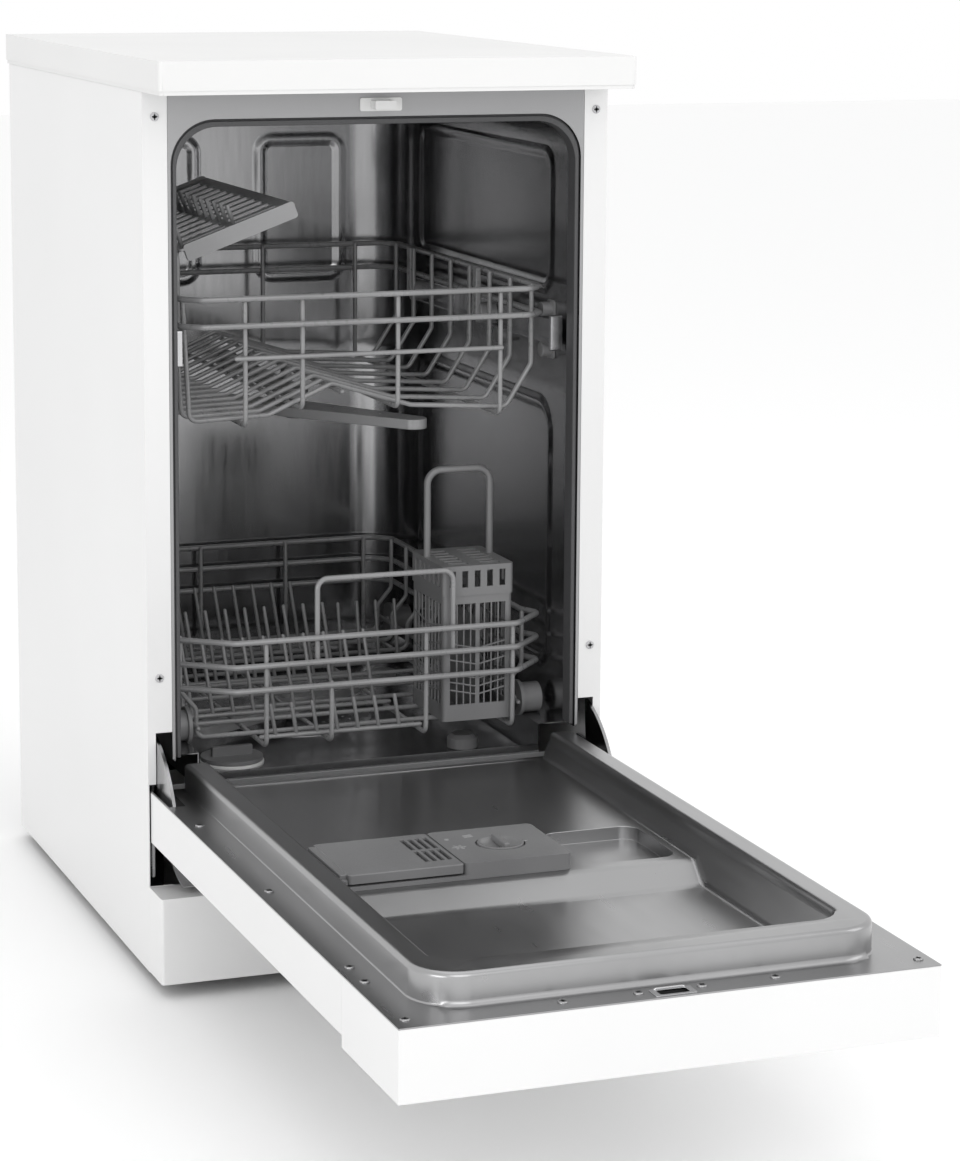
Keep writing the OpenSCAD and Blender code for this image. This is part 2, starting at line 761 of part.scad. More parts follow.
// Perforated steel filter plate round the filter cup and the spray hub
module filter_plate() {
    z0 = tub_floor + 0.1;
    color(steel) difference() {
        translate([0, arm_y, z0]) cylinder(r = sump_r + 14, h = 1.2);
        translate([0, arm_y, z0 - 1]) cylinder(r = 15, h = 4);
        translate([cup_x, arm_y, z0 - 1]) cylinder(r = cup_outer_r + 0.4, h = 4);
        for (ring = [0 : 2], i = [0 : 23])
            if (abs(i * 15 + ring * 7 - 180) > 60)
                rotate_about([0, arm_y], i * 15 + ring * 7) translate([38 + ring * 9, 0, z0 - 1])
                    cylinder(r = 2, h = 4);
    }
}

cup_x = -38;
cup_outer_r = 19;

module rotate_about(p, a) {
    translate([p[0], p[1], 0]) rotate([0, 0, a]) children();
}

// Filter cup that turns and lifts out of the sump, with a finger grip
module filter_cup() {
    z0 = tub_floor + 0.1;
    color(grey) difference() {
        union() {
            translate([cup_x, arm_y, z0 - 44]) cylinder(r = cup_outer_r - 1, h = 44);
            translate([cup_x, arm_y, z0 - 2]) cylinder(r = cup_outer_r, h = 4);
            block([cup_x - 2, arm_y - 14, z0], [cup_x + 2, arm_y + 14, z0 + 8]);
        }
        translate([cup_x, arm_y, z0 - 41]) difference() {
            cylinder(r = cup_outer_r - 3, h = 60);
            translate([-4, -30, 38]) cube([8, 60, 40]);
        }
    }
}

module circulation_pump() {
    color(grey) {
        pin_x(sump_r + 12, sump_r + 92, arm_y + 30, tub_floor - 62, 34);
        pin_x(sump_r + 92, sump_r + 108, arm_y + 30, tub_floor - 62, 22);
        pin_x(sump_r + 2.1, sump_r + 13, arm_y + 20, tub_floor - 45, 14);
        for (x = [sump_r + 24, sump_r + 80])
            block([x - 5, arm_y + 10, floor_gap + tray_wall + 0.05], [x + 5, arm_y + 50, tub_floor - 80]);
    }
}

module drain_pump() {
    y0 = arm_y + sump_r;
    y1 = back - sheet - rear_recess_d - tray_wall - 2;
    color(dark) {
        pin_y(drain_x, y1 - 70, y1 - 18, inlet_z, 26);
        pin_y(drain_x, y1 - 19, y1, inlet_z, 14);
        pin_y(drain_x, y1 - 1, back - 4, inlet_z, 9);
        rod([drain_x - 16, y1 - 64, inlet_z + 4], [56, arm_y + 46, tub_floor - 58], 8);
        block([drain_x - 6, y1 - 60, floor_gap + tray_wall + 0.05], [drain_x + 6, y1 - 30, inlet_z - 20]);
    }
}

// Water softener with its salt neck through the tub's floor
module water_softener() {
    color(white) difference() {
        union() {
            slab([salt_x - 52, salt_y - 40, floor_gap + tray_wall + 0.05],
                [salt_x + 44, salt_y + 70, tub_floor - 22], 12);
            translate([salt_x, salt_y, tub_floor - 23]) cylinder(r = salt_r + 4, h = 23 + 2.5);
        }
        translate([salt_x, salt_y, floor_gap + 12]) cylinder(r = salt_r - 2, h = 200);
        translate([salt_x, salt_y, tub_floor - 14]) cylinder(r = salt_r + play, h = 40);
    }
}

module salt_cap() {
    z1 = tub_floor + 2.5;
    color(grey) {
        translate([salt_x, salt_y, tub_floor - 12]) cylinder(r = salt_r, h = 12 + 2.5);
        translate([salt_x, salt_y, z1 + 0.1]) cylinder(r = salt_r + 3, h = 4);
        block([salt_x - 20, salt_y - 3, z1 + 1], [salt_x + 20, salt_y + 3, z1 + 13]);
    }
}

// Float that lifts with the water and works the overflow switch
module float_dome() {
    color(grey) {
        translate([float_x, float_y, tub_floor + 0.4]) cylinder(r = 15, h = 10);
        translate([float_x, float_y, tub_floor + 10]) cylinder(r1 = 15, r2 = 11, h = 4);
        translate([float_x, float_y, tub_floor - 34]) cylinder(r = 4, h = 40);
    }
}

// Outline of one spray arm
module arm_outline(l) {
    circle(arm_w / 2);
    for (a = [0, 180])
        rotate(a) polygon([[0, -arm_w / 2], [l - 14, -13], [l - 14, 13], [0, arm_w / 2]]);
    for (x = [-1, 1])
        translate([x * (l - 14), 0]) circle(13);
}

module nozzles(l, z) {
    for (side = [-1, 1], k = [0.3, 0.48, 0.66, 0.84])
        translate([side * l * k, side * (k * 10 - 6), z]) scale(1) cylinder(r = 2.2, h = 4);
}

// Lower spray arm, turning on the hub of the sump
module lower_spray_arm() {
    z0 = tub_floor + 12;
    color(grey) translate([0, arm_y, 0]) rotate([0, 0, 34]) difference() {
        union() {
            translate([0, 0, z0]) linear_extrude(spray_t) arm_outline(arm_l);
            translate([0, 0, z0 + spray_t - 1]) cylinder(r = 16, h = 4);
        }
        translate([0, 0, z0 - 2]) cylinder(r = arm_pin_r + play, h = 9);
        nozzles(arm_l, z0 + spray_t - 2);
    }
    color(grey) translate([0, arm_y, 0]) rotate([0, 0, 34]) difference() {
        translate([0, 0, z0 - 6]) cylinder(r = 14, h = 6.5);
        translate([0, 0, z0 - 8]) cylinder(r = arm_pin_r + play, h = 12);
    }
}

// Riser behind the tub and the socket that feeds the upper arm
module feed_pipe() {
    y = tub_back + tub_wall + 9;
    color(grey) {
        translate([0, y, tub_floor - 40]) cylinder(r = 8, h = feed_z - tub_floor + 40);
        pin_y(0, tub_back - 8, y, feed_z, 11);
        pin_y(0, arm_y + sump_r + 2.1, y, tub_floor - 34, 8);
    }
}

// Solenoid valve with the threaded inlet
module inlet_valve() {
    y1 = back - 1;
    wall_y = back - sheet - seat - rear_recess_d;
    color(dark) {
        pin_y(inlet_x, wall_y + 0.3, wall_y + 3, inlet_z, 17);
        pin_y(inlet_x, wall_y + 2.5, y1, inlet_z, stub_r);
        pin_y(inlet_x, wall_y - 45, wall_y + 1, inlet_z, 11);
        block([inlet_x - 15, wall_y - 46, inlet_z - 12], [inlet_x + 15, wall_y - 14, inlet_z + 28]);
    }
}

rail_y0 = rack_y0 - 2;
rail_out = tub_half - 3.2;
roller_y = [rail_y0 + 172, rail_y0 + 368];

// Guides on the tub's walls, two on each side, with rollers above and below the rail
module rail_guides() {
    color(grey) both_sides() for (y = [rail_y0 + 30, rail_y0 + 150]) {
        for (side = [-1, 1])
            pin_x(rail_out - 9, tub_half - 0.6, y, rail_z + side * (rail_h / 2 + 7.3), 7);
        slab_x([y - 9, rail_z - rail_h / 2 - 16], [y + 9, rail_z + rail_h / 2 + 16], 4,
            tub_half - 2.4, tub_half - 0.1);
    }
}

// Rounded plate in Y and Z with a thickness along X
module slab_x(low, high, r, x0, x1) {
    side_cut(x0, x1) translate([(low[0] + high[0]) / 2, (low[1] + high[1]) / 2])
        rounded(high[0] - low[0], high[1] - low[1], r);
}

// Steel rails of C section, with plastic caps at the front
module upper_rails() {
    z0 = rail_z - rail_h / 2;
    z1 = rail_z + rail_h / 2;
    color(steel) both_sides() difference() {
        block([rail_out - 9, rail_y0 + 4, z0], [rail_out, rail_y0 + rail_l, z1]);
        block([rail_out - 10, rail_y0 + 3, z0 + 1.2], [rail_out - 1.2, rail_y0 + rail_l + 1, z1 - 1.2]);
    }
    color(grey) both_sides()
        slab_x([rail_y0 - 2, z0 - 5], [rail_y0 + 4.1, z1 + 5], 2, rail_out - 11, rail_out + 0.3);
}

// Door skin: a painted sheet folded into a pan
module door_panel() {
    color(white) on_door() difference() {
        block([-door_half, 0, -door_t], [door_half, control_s - 0.3, -1.2]);
        block([-door_half + sheet, sheet, -door_t + sheet], [door_half - sheet, control_s, 1]);
        hinge_notch();
    }
}

// Room for the hinge in the corners of the door's skins
module hinge_notch() {
    both_sides()
        block([notch_x0, -1, pivot_z - door_open_z - 14], [notch_x1, notch_s, 40]);
}

button_s = control_s + 48;
power_x = -168;
program_x = 168;
button_r = 8;
button_out = 1.5;
grip_w = 170;
grip_s0 = door_l - 46;
grip_s1 = door_l - 8;
grip_depth = 24;

// Moulded control panel: a hollow bar with the grip recess, two button holes and a window
module control_panel() {
    h0 = -door_t - panel_step;
    color(white) on_door() difference() {
        union() {
            difference() {
                block([-door_half, control_s, h0], [door_half, door_l, -1.2]);
                block([-door_half + control_wall, control_s + control_wall, h0 + control_wall],
                    [door_half - control_wall, door_l - control_wall, 1]);
            }
            block([-grip_w / 2 - control_wall, grip_s0 - control_wall, h0],
                [grip_w / 2 + control_wall, grip_s1 + control_wall, h0 + grip_depth + control_wall]);
        }
        slab([-grip_w / 2, grip_s0, h0 - 1], [grip_w / 2, grip_s1, h0 + grip_depth], 8);
        block([-rim_inner, control_s - 1, -pan_depth - sheet - seat], [rim_inner, control_s + 60, 1]);
        for (x = [power_x, program_x])
            translate([x, button_s, h0 - 1]) cylinder(r = button_r + 0.3, h = 6);
        slab([-lens_w / 2, button_s - lens_h / 2, h0 - 1], [lens_w / 2, button_s + lens_h / 2, h0 + 6], 3);
    }
}

lens_w = 90;
lens_h = 14;

// Smoked window over the indicator lights
module indicator_lens() {
    h0 = -door_t - panel_step;
    color(dark) on_door() {
        slab([-lens_w / 2 + 0.1, button_s - lens_h / 2 + 0.1, h0 - 0.2],
            [lens_w / 2 - 0.1, button_s + lens_h / 2 - 0.1, h0 + control_wall + 0.1], 2.9);
        slab([-lens_w / 2 - 4, button_s - lens_h / 2 - 4, h0 + control_wall + 0.05],
            [lens_w / 2 + 4, button_s + lens_h / 2 + 4, h0 + control_wall + 1.6], 4);
    }
}

// Push button with a collar behind the panel
module button(x) {
    h0 = -door_t - panel_step;
    color(steel) on_door() {
        translate([x, button_s, h0 - button_out]) cylinder(r = button_r, h = button_out + control_wall + 3);
        translate([x, button_s, h0 + control_wall + 0.2]) cylinder(r = button_r + 2, h = 1.5);
    }
}

module power_button() { button(power_x); }

module program_button() { button(program_x); }

// Space over the liner's pan, grown by g
module pan_space(g) {
    s_end = rim_s1 - rim_end_w;
    wall_run = 14;
    floor_half = rim_inner - wall_run;
    intersection() {
        side_cut(-rim_half, rim_half) polygon([[-1, -g], [pan_step_s, -g],
            [pan_step_s + pan_step_l, -pan_depth - g], [pan_slope_s, -pan_depth - g],
            [s_end + g, rim_h], [s_end + g, rim_h + 5], [-1, rim_h + 5]]);
        front_cut(-2, rim_s1 + 2) polygon([[-floor_half - g, -pan_depth - g],
            [floor_half + g, -pan_depth - g],
            [rim_inner + g, rim_h - 10], [rim_inner + g, rim_h + 5], [-rim_inner - g, rim_h + 5],
            [-rim_inner - g, rim_h - 10]]);
        translate([0, -60, -50]) linear_extrude(100)
            translate([0, (s_end + 60) / 2])
                rounded(2 * (rim_inner + g), s_end + 60 + 2 * g, tub_corner_r - 12);
    }
    slab([disp_x + disp_w + 14 - g, disp_s - 10 - g, -scoop_depth - g],
        [rim_inner - wall_run - 4 + g, disp_s + disp_l - 8 + g, rim_h], 14);
}

// Everything under the liner's surface, sunk by g
module liner_form(g) {
    difference() {
        union() {
            block([-door_half - 5 * g, -5 * g, -40], [door_half + 5 * g, door_l + 5 * g, -g]);
            difference() {
                translate([0, 0, -40]) linear_extrude(40 + rim_h - g)
                    translate([0, (rim_s0 + rim_s1) / 2])
                        rounded(2 * (rim_half - g), rim_s1 - rim_s0 - 2 * g, tub_corner_r - g);
                block([-rim_half, -1, -50], [rim_half, rim_s0 + g, 50]);
            }
            block([-rim_half + g, rim_s0 + g, -40], [rim_half - g, rim_s0 + 60, rim_h - g]);
        }
        pan_space(g);
    }
}

side_screw_s = [for (share = [0.182, 0.484, 0.789, 0.842, 0.975]) door_l * share];
end_screw_x = [26, 87];
latch_s = door_l - 10;

// Polished inner sheet of the door: flange, raised rim and pan in one pressing
module door_liner() {
    color(steel) on_door() difference() {
        liner_form(0);
        liner_form(sheet);
        block([disp_x + 8, disp_s + 8, -50], [disp_x + disp_w - 8, disp_s + disp_l - 8, 50]);
        hinge_notch();
        block([-14, latch_s - 8, -10], [14, latch_s + 8, 10]);
        both_sides() {
            for (s = side_screw_s)
                translate([-door_half + 11, s, -10]) cylinder(r = 2.2, h = 20);
            for (x = end_screw_x)
                translate([x, door_l - 15, -10]) cylinder(r = 2.2, h = 20);
        }
    }
}

module screw(x, s) {
    translate([x, s, 0.05]) cylinder(r = 4, h = 1.35);
    translate([x, s, -7]) cylinder(r = 1.9, h = 7.2);
}

module door_screws() {
    color(steel) on_door() both_sides() {
        for (s = side_screw_s)
            screw(-door_half + 11, s);
        for (x = end_screw_x)
            screw(x, door_l - 15);
    }
}

// Latch in the control panel: a box with two sprung jaws for the striker
module door_latch() {
    color(dark) on_door() difference() {
        block([-20, latch_s - 7.4, -30], [20, latch_s + 7.4, -1.1]);
        block([-13, latch_s - 5.6, -27], [13, latch_s + 5.6, 1]);
    }
    color(dark) on_door()
        block([-4, latch_s - 7, -11], [4, latch_s - 5.5, -9]);
}

// Dispenser: a cup for detergent on the left, the rinse aid tank on the right
module dispenser_body() {
    x1 = disp_x + disp_w;
    split = disp_x + lid_w;
    color(grey) on_door() difference() {
        union() {
            slab([disp_x, disp_s, 0.1], [x1, disp_s + disp_l, 4], 5);
            slab([split + 0.5, disp_s, 0.1], [x1, disp_s + disp_l, disp_h], 5);
            slab([disp_x + 9, disp_s + 9, -26], [x1 - 9, disp_s + disp_l - 9, 1], 4);
            for (s = [disp_s, disp_s + disp_l - 5])
                block([disp_x, s, 1], [disp_x + 5, s + 5, lid_axis_h + 2.3]);
        }
        slab([disp_x + 16, disp_s + 14, -23], [split - 14, disp_s + disp_l - 14, 10], 8);
        translate([cap_x, cap_s, disp_h - 3]) cylinder(r = cap_r + 1.5, h = 10);
        translate([cap_x, cap_s, -12]) cylinder(r = cap_r - 6 + play, h = 40);
        lid_pin(disp_s, disp_s + disp_l, lid_pin_r + play);
    }
}

cap_x = disp_x + lid_w + 50;
cap_s = disp_s + disp_l / 2;
lid_axis_x = disp_x + 2.5;
lid_axis_h = 7.5;

module lid_pin(s0, s1, r) {
    pin_y(lid_axis_x, s0, s1, lid_axis_h, r);
}

// Flap over the detergent cup, hinged along its left edge
module detergent_lid() {
    x1 = disp_x + lid_w - 0.5;
    s0 = disp_s + 5.5;
    s1 = disp_s + disp_l - 5.5;
    color(grey) on_door() {
        difference() {
            union() {
                slab([disp_x + 6, disp_s + 0.3, 4.5], [x1, disp_s + disp_l - 0.3, disp_h], 3);
                block([disp_x, s0, lid_axis_h - 2.2], [disp_x + 12, s1, disp_h]);
            }
            block([disp_x + 12, disp_s + 2.3, 4], [x1 - 2, disp_s + disp_l - 2.3, disp_h - 2]);
            for (col = [0 : 2], row = [0 : 1])
                block([x1 - 32 + row * 14, disp_s + 18 + col * 9, disp_h - 3],
                    [x1 - 22 + row * 14, disp_s + 22 + col * 9, disp_h + 1]);
        }
        block([x1 - 40, disp_s - 3, disp_h - 3], [x1 - 24, disp_s + 1, disp_h - 1]);
        lid_pin(disp_s + 0.6, disp_s + disp_l - 0.6, lid_pin_r);
    }
}

// Rinse aid cap with its finger wing
module rinse_aid_cap() {
    color(grey) on_door() {
        translate([cap_x, cap_s, disp_h - 2.8]) cylinder(r = cap_r, h = 4);
        translate([cap_x, cap_s, -10]) cylinder(r = cap_r - 6, h = disp_h + 8);
        slab([cap_x - 2.5, cap_s - cap_r + 3, disp_h], [cap_x + 2.5, cap_s + cap_r - 3, disp_h + 4.6], 2.4);
    }
}

// Plan of a rack rim at height z
function low_rim(z) = [[0, rack_y0, z], [rack_half - 26, rack_y0, z], [rack_half + 10, rack_y0 + 38, z],
    [rack_half, rack_y0 + 58, z], [rack_half, low_y1 - 18, z], [rack_half - 18, low_y1, z],
    [-rack_half + 18, low_y1, z], [-rack_half, low_y1 - 18, z], [-rack_half, rack_y0 + 34, z],
    [46 - rack_half, rack_y0, z], [-0.5, rack_y0, z]];

// Closed rim loop
module rim_loop(points, r, bend) {
    wire(points, r, bend);
    rod(points[0] - [1, 0, 0], points[0] + [1, 0, 0], r + 0.03);
}

// Welded frame of the lower rack: rims, long wires, front handle and the wheels' rails and axles
module lower_rack_frame() {
    y_in = rack_y0 + rim_wire_r + wire_r - weld;
    y_end = low_y1 - rim_wire_r - wire_r + weld;
    color(grey) {
        for (i = [0 : 2])
            rim_loop(low_rim(low_top - i * rim_step), rim_wire_r, 9);
        wire([[-49, y_in, low_top - rim_step - 4], [-49, y_in, low_top + 55],
            [86, y_in, low_top + 55], [86, y_in, low_top - rim_step - 4]], wire_r + 0.3, 10);
        for (x = long_x)
            wire([[x, y_in, x == long_x[1] ? low_top - 2 * rim_step + 3 : low_top + 2], [x, y_in, long_z],
                [x, y_end, long_z], [x, y_end, low_top + 2]], wire_r, 8);
    }
}

// One U-shaped cross wire of the lower rack, stepped in over the wheels
function low_u(y) = let (x = rack_half - rim_wire_r - wire_r + weld, step = axle_z + 18)
    [[-x, y, low_top + 2], [-x, y, step + 14],
    [-low_half, y, step - 4], [-low_half, y, low_floor], [low_half, y, low_floor],
    [low_half, y, step - 4], [x, y, step + 14], [x, y, low_top + 2]];

long_x = [57 - low_half, -35, 59, low_half - 9];

// Cross wires of the lower rack with the rails that carry the wheels' axles
module lower_rack_wires() {
    cross_gap = (low_depth - 70) / (low_cross - 1);
    color(grey) {
        for (i = [0 : low_cross - 1])
            wire(low_u(rack_y0 + 44 + i * cross_gap), wire_r, 8);
        both_sides() {
            rod([rail_wire_x, rack_y0 + 20, axle_z], [rail_wire_x, low_y1 - 20, axle_z], wire_r);
            for (y = wheel_y) {
                pin_x(rail_wire_x, wheel_out + 1.6, y, axle_z, axle_r);
                pin_x(wheel_out + 0.5, wheel_out + 1.7, y, axle_z, axle_r + 1.8);
            }
        }
    }
}

// Height of the tines' base wires
tine_z = long_z + 2 * wire_r - weld;

// One row of tines on its base wire from x0 to x1, the first tine at x2, each leaning by the given step
module tine_row(x0, x1, x2, count, y, lean) {
    tine_gap = 20.5;
    rod([x0, y, tine_z], [x1, y, tine_z], wire_r);
    for (i = [0 : count - 1])
        rod([x2 + i * tine_gap, y, tine_z], [x2 + i * tine_gap, y, tine_z] + lean, tine_r);
}

// Rows of tines that hold the plates
module lower_rack_tines() {
    cross_gap = (low_depth - 70) / (low_cross - 1);
    count = floor((basket_x0 - 30 + low_half - 18) / 20.5) + 1;
    color(grey) {
        tine_row(55 - low_half, 62, 72 - low_half, 7, rack_y0 + 24, [-8, -8, 34]);
        for (row = [1.58, 4.27, 6.55])
            tine_row(8 - low_half, basket_x0 - 15, 18 - low_half, count, rack_y0 + 44 + row * cross_gap,
                [-10, 6, 74]);
        tine_row(basket_x0 - 25, low_half - 6, basket_x0 - 7, 4, rack_y0 + 44 + 5.31 * cross_gap,
            [0, 12, 60]);
    }
}

// Rack wheel: hub with spokes, tread and guide flange
module wheel(side, i) {
    color(grey) mirror([side < 0 ? 1 : 0, 0, 0]) difference() {
        union() {
            pin_x(disc_out, wheel_out, wheel_y[i], axle_z, wheel_r);
            pin_x(disc_in, disc_out + 0.1, wheel_y[i], axle_z, wheel_flange_r);
        }
        pin_x(disc_in - 1, wheel_out + 1, wheel_y[i], axle_z, axle_r + play);
        difference() {
            pin_x(disc_out + 4, wheel_out + 1, wheel_y[i], axle_z, wheel_r - 2);
            pin_x(disc_out + 3, wheel_out + 2, wheel_y[i], axle_z, axle_r + 2.5);
            for (a = [0 : 45 : 179])
                translate([disc_out + 3, wheel_y[i], axle_z]) rotate([a, 0, 0])
                    translate([0, -wheel_r, -0.7]) cube([wheel_out - disc_out, 2 * wheel_r, 1.4]);
        }
    }
}

module wheel_left_1() { wheel(-1, 0); }

module wheel_left_2() { wheel(-1, 1); }

module wheel_left_3() { wheel(-1, 2); }

module wheel_left_4() { wheel(-1, 3); }

module wheel_right_1() { wheel(1, 0); }

module wheel_right_2() { wheel(1, 1); }

module wheel_right_3() { wheel(1, 2); }

module wheel_right_4() { wheel(1, 3); }

basket_x0 = rack_half - 27 - basket_w;
basket_y0 = rack_y0 + 12;
basket_z0 = low_floor + wire_r + 0.3;

// Cutlery basket: grid walls between corner posts over a solid band
module cutlery_basket() {
    x1 = basket_x0 + basket_w;
    y1 = basket_y0 + basket_d;
    z1 = basket_z0 + basket_h;
    band = 16;
    cell_h = (basket_h - band - 8) / 4;
    bar = 1.8;
    bars_x = 5;
    bars_y = 6;
    pitch_x = (basket_w - 8) / bars_x;
    pitch_y = (basket_d - 8) / bars_y;
    color(grey) difference() {
        slab([basket_x0, basket_y0, basket_z0], [x1, y1, z1], 4);
        slab([basket_x0 + basket_wall, basket_y0 + basket_wall, basket_z0 + basket_wall],
            [x1 - basket_wall, y1 - basket_wall, z1 + 1], 2.5);
        for (row = [0 : 3]) {
            z = basket_z0 + band + row * cell_h;
            for (i = [0 : bars_x - 1])
                block([basket_x0 + 4 + i * pitch_x + bar / 2, basket_y0 - 1, z],
                    [basket_x0 + 4 + (i + 1) * pitch_x - bar / 2, y1 + 1, z + cell_h - bar]);
            for (i = [0 : bars_y - 1])
                block([basket_x0 - 1, basket_y0 + 4 + i * pitch_y + bar / 2, z],
                    [x1 + 1, basket_y0 + 4 + (i + 1) * pitch_y - bar / 2, z + cell_h - bar]);
        }
        for (i = [0 : 3], k = [0 : 4])
            block([basket_x0 + 8 + i * 14.5, basket_y0 + 8 + k * 15, basket_z0 - 1],
                [basket_x0 + 18 + i * 14.5, basket_y0 + 18 + k * 15, basket_z0 + 5]);
    }
}

// Cover with a slotted rim and top, and the arched handle
module basket_cover() {
    x1 = basket_x0 + basket_w + 1;
    x0 = basket_x0 - 1;
    y0 = basket_y0 - 1;
    y1 = basket_y0 + basket_d + 1;
    z0 = basket_z0 + basket_h + 0.05;
    z1 = z0 + cover_h;
    xm = (x0 + x1) / 2;
    ym = y0 + 0.62 * (y1 - y0);
    color(grey) {
        difference() {
            slab([x0, y0, z0], [x1, y1, z1], 4);
            slab([x0 + 2, y0 + 2, z0 - 1], [x1 - 2, y1 - 2, z1 - 2], 3);
            for (i = [0 : 4])
                block([x0 + 7 + i * 12.6, y0 - 1, z0 + 8], [x0 + 13 + i * 12.6, y1 + 1, z1 - 5]);
            for (i = [0 : 5])
                block([x0 - 1, y0 + 8 + i * 13, z0 + 8], [x1 + 1, y0 + 14 + i * 13, z1 - 5]);
            for (i = [0 : 5], k = [-1, 1])
                block([xm + k * 16 - 10, y0 + 9 + i * 12.4, z1 - 3],
                    [xm + k * 16 + 10, y0 + 16 + i * 12.4, z1 + 1]);
        }
        wire([[x0 + 4, ym, z1 - 1], [x0 + 4, ym, z1 + handle_h], [x1 - 4, ym, z1 + handle_h],
            [x1 - 4, ym, z1 - 1]], 3.4, 14);
    }
}

// Plan of the upper rack's rims
function up_rim(z) = [[0, rack_y0, z], [rack_half - 16, rack_y0, z], [rack_half, rack_y0 + 16, z],
    [rack_half, up_y1 - 16, z], [rack_half - 16, up_y1, z], [-rack_half + 16, up_y1, z],
    [-rack_half, up_y1 - 16, z], [-rack_half, rack_y0 + 16, z], [-rack_half + 16, rack_y0, z],
    [-0.5, rack_y0, z]];

shelf_x = -rack_half + rim_wire_r + wire_r - weld;
shelf_z = up_top + shelf_pivot_h;
shelf_y0 = rack_y0 + 51;
shelf_y1 = shelf_y0 + shelf_l;

// Welded frame of the upper rack: rims, long wires and the pivot wire of the cup shelf
module upper_rack_frame() {
    y_in = rack_y0 + rim_wire_r + wire_r - weld;
    y_end = up_y1 - rim_wire_r - wire_r + weld;
    color(grey) {
        for (z = [up_top, up_top - 25])
            rim_loop(up_rim(z), rim_wire_r, 9);
        rod([46 - rack_half, rack_y0 + weld, up_top - 55], [rack_half - 42, rack_y0 + weld, up_top - 55],
            wire_r);
        wire([[shelf_x, shelf_y0 - 10, up_top - 27], [shelf_x, shelf_y0 - 10, shelf_z],
            [shelf_x, shelf_y1 + 10, shelf_z], [shelf_x, shelf_y1 + 10, up_top - 27]], wire_r, 6);
        for (x = [58 - rack_half, -63, 30, rack_half - 44])
            wire([[x, y_in, up_top + 2], [x, y_in, under_floor(x) - 0.4], [x, y_end, under_floor(x) - 0.4],
                [x, y_end, up_top + 2]], wire_r, 8);
        rod([ridge_x, y_in, under_floor(ridge_x) - 0.2],
            [ridge_x, y_end, under_floor(ridge_x) - 0.2], wire_r);
    }
}

ridge_x = -24;

// Stepped cross wire: a trough on the left, a ridge, and a slope to the right
function up_w(y) = let (x = rack_half - rim_wire_r - wire_r + weld)
    [[-x, y, up_top + 2], [-x + 6, y, up_floor],
    [-90, y, up_floor + 3], [-28, y, up_floor + 30], [50, y, up_floor + 6], [rack_half - 30, y, up_floor],
    [x, y, up_floor + 40], [x, y, up_top + 2]];

// Height of the stepped floor at x, under its wires
function under_floor(x) = up_floor - 2 * wire_r + weld
    + (x < -90 ? 1.5 : x < -28 ? 3 + 27 * (x + 90) / 62
        : x < 50 ? 30 - 24 * (x + 28) / 78 : 6 - 6 * (x - 50) / (rack_half - 80));

// Cross wires of the upper rack: full ones, and half ones that end on the ridge
module upper_rack_wires() {
    cross_gap = (up_depth - 50) / (up_cross - 1);
    color(grey) {
        for (i = [0 : up_cross - 1]) {
            path = up_w(rack_y0 + 26 + i * cross_gap);
            wire(i % 2 == 0 ? path : [for (k = [0 : 3]) path[k]], wire_r, 8);
        }
        both_sides() for (y = roller_y) {
            pin_x(rack_half - rim_wire_r - wire_r, rail_out - 1.6, y, rail_z, rail_h / 2 - 1.6);
            block([rack_half - rim_wire_r - 6, y - 5, rail_z - 4],
                [rack_half - rim_wire_r - 0.05, y + 5, up_top + 2]);
        }
    }
}

// Feed pipe that the upper rack carries: docks at the back and ends over the spray arm's hub
module upper_feed_pipe() {
    color(grey) {
        difference() {
            union() {
                pin_y(0, arm_y, tub_back - 8.4, feed_z, 9);
                translate([0, arm_y, feed_z - 5]) cylinder(r = 13, h = 10);
                for (y = [arm_y + 30, arm_y + 150])
                    block([-4, y - 6, feed_z], [4, y + 6, under_floor(0) + wire_r - 2.9]);
            }
            pin_y(0, arm_y + 2, tub_back, feed_z, 7);
        }
        translate([0, arm_y, feed_z - 13]) cylinder(r = 6, h = 10);
        translate([0, arm_y, feed_z - spray_t - 15.4]) cylinder(r = 9, h = 3);
        translate([0, arm_y, feed_z - spray_t - 14]) cylinder(r = 6, h = 18);
    }
}

// Spray arm under the upper rack with the pipe that docks at the back
module upper_spray_arm() {
    z0 = feed_z - spray_t - 12;
    color(grey) translate([0, arm_y, 0]) rotate([0, 0, -56]) difference() {
        union() {
            translate([0, 0, z0]) linear_extrude(spray_t) arm_outline(arm_l);
            translate([0, 0, z0 + spray_t - 0.1]) cylinder(r = 10, h = 2.6);
        }
        translate([0, 0, z0 - 1]) cylinder(r = 6 + play, h = spray_t + 6);
        nozzles(arm_l, z0 + spray_t - 2);
    }
}

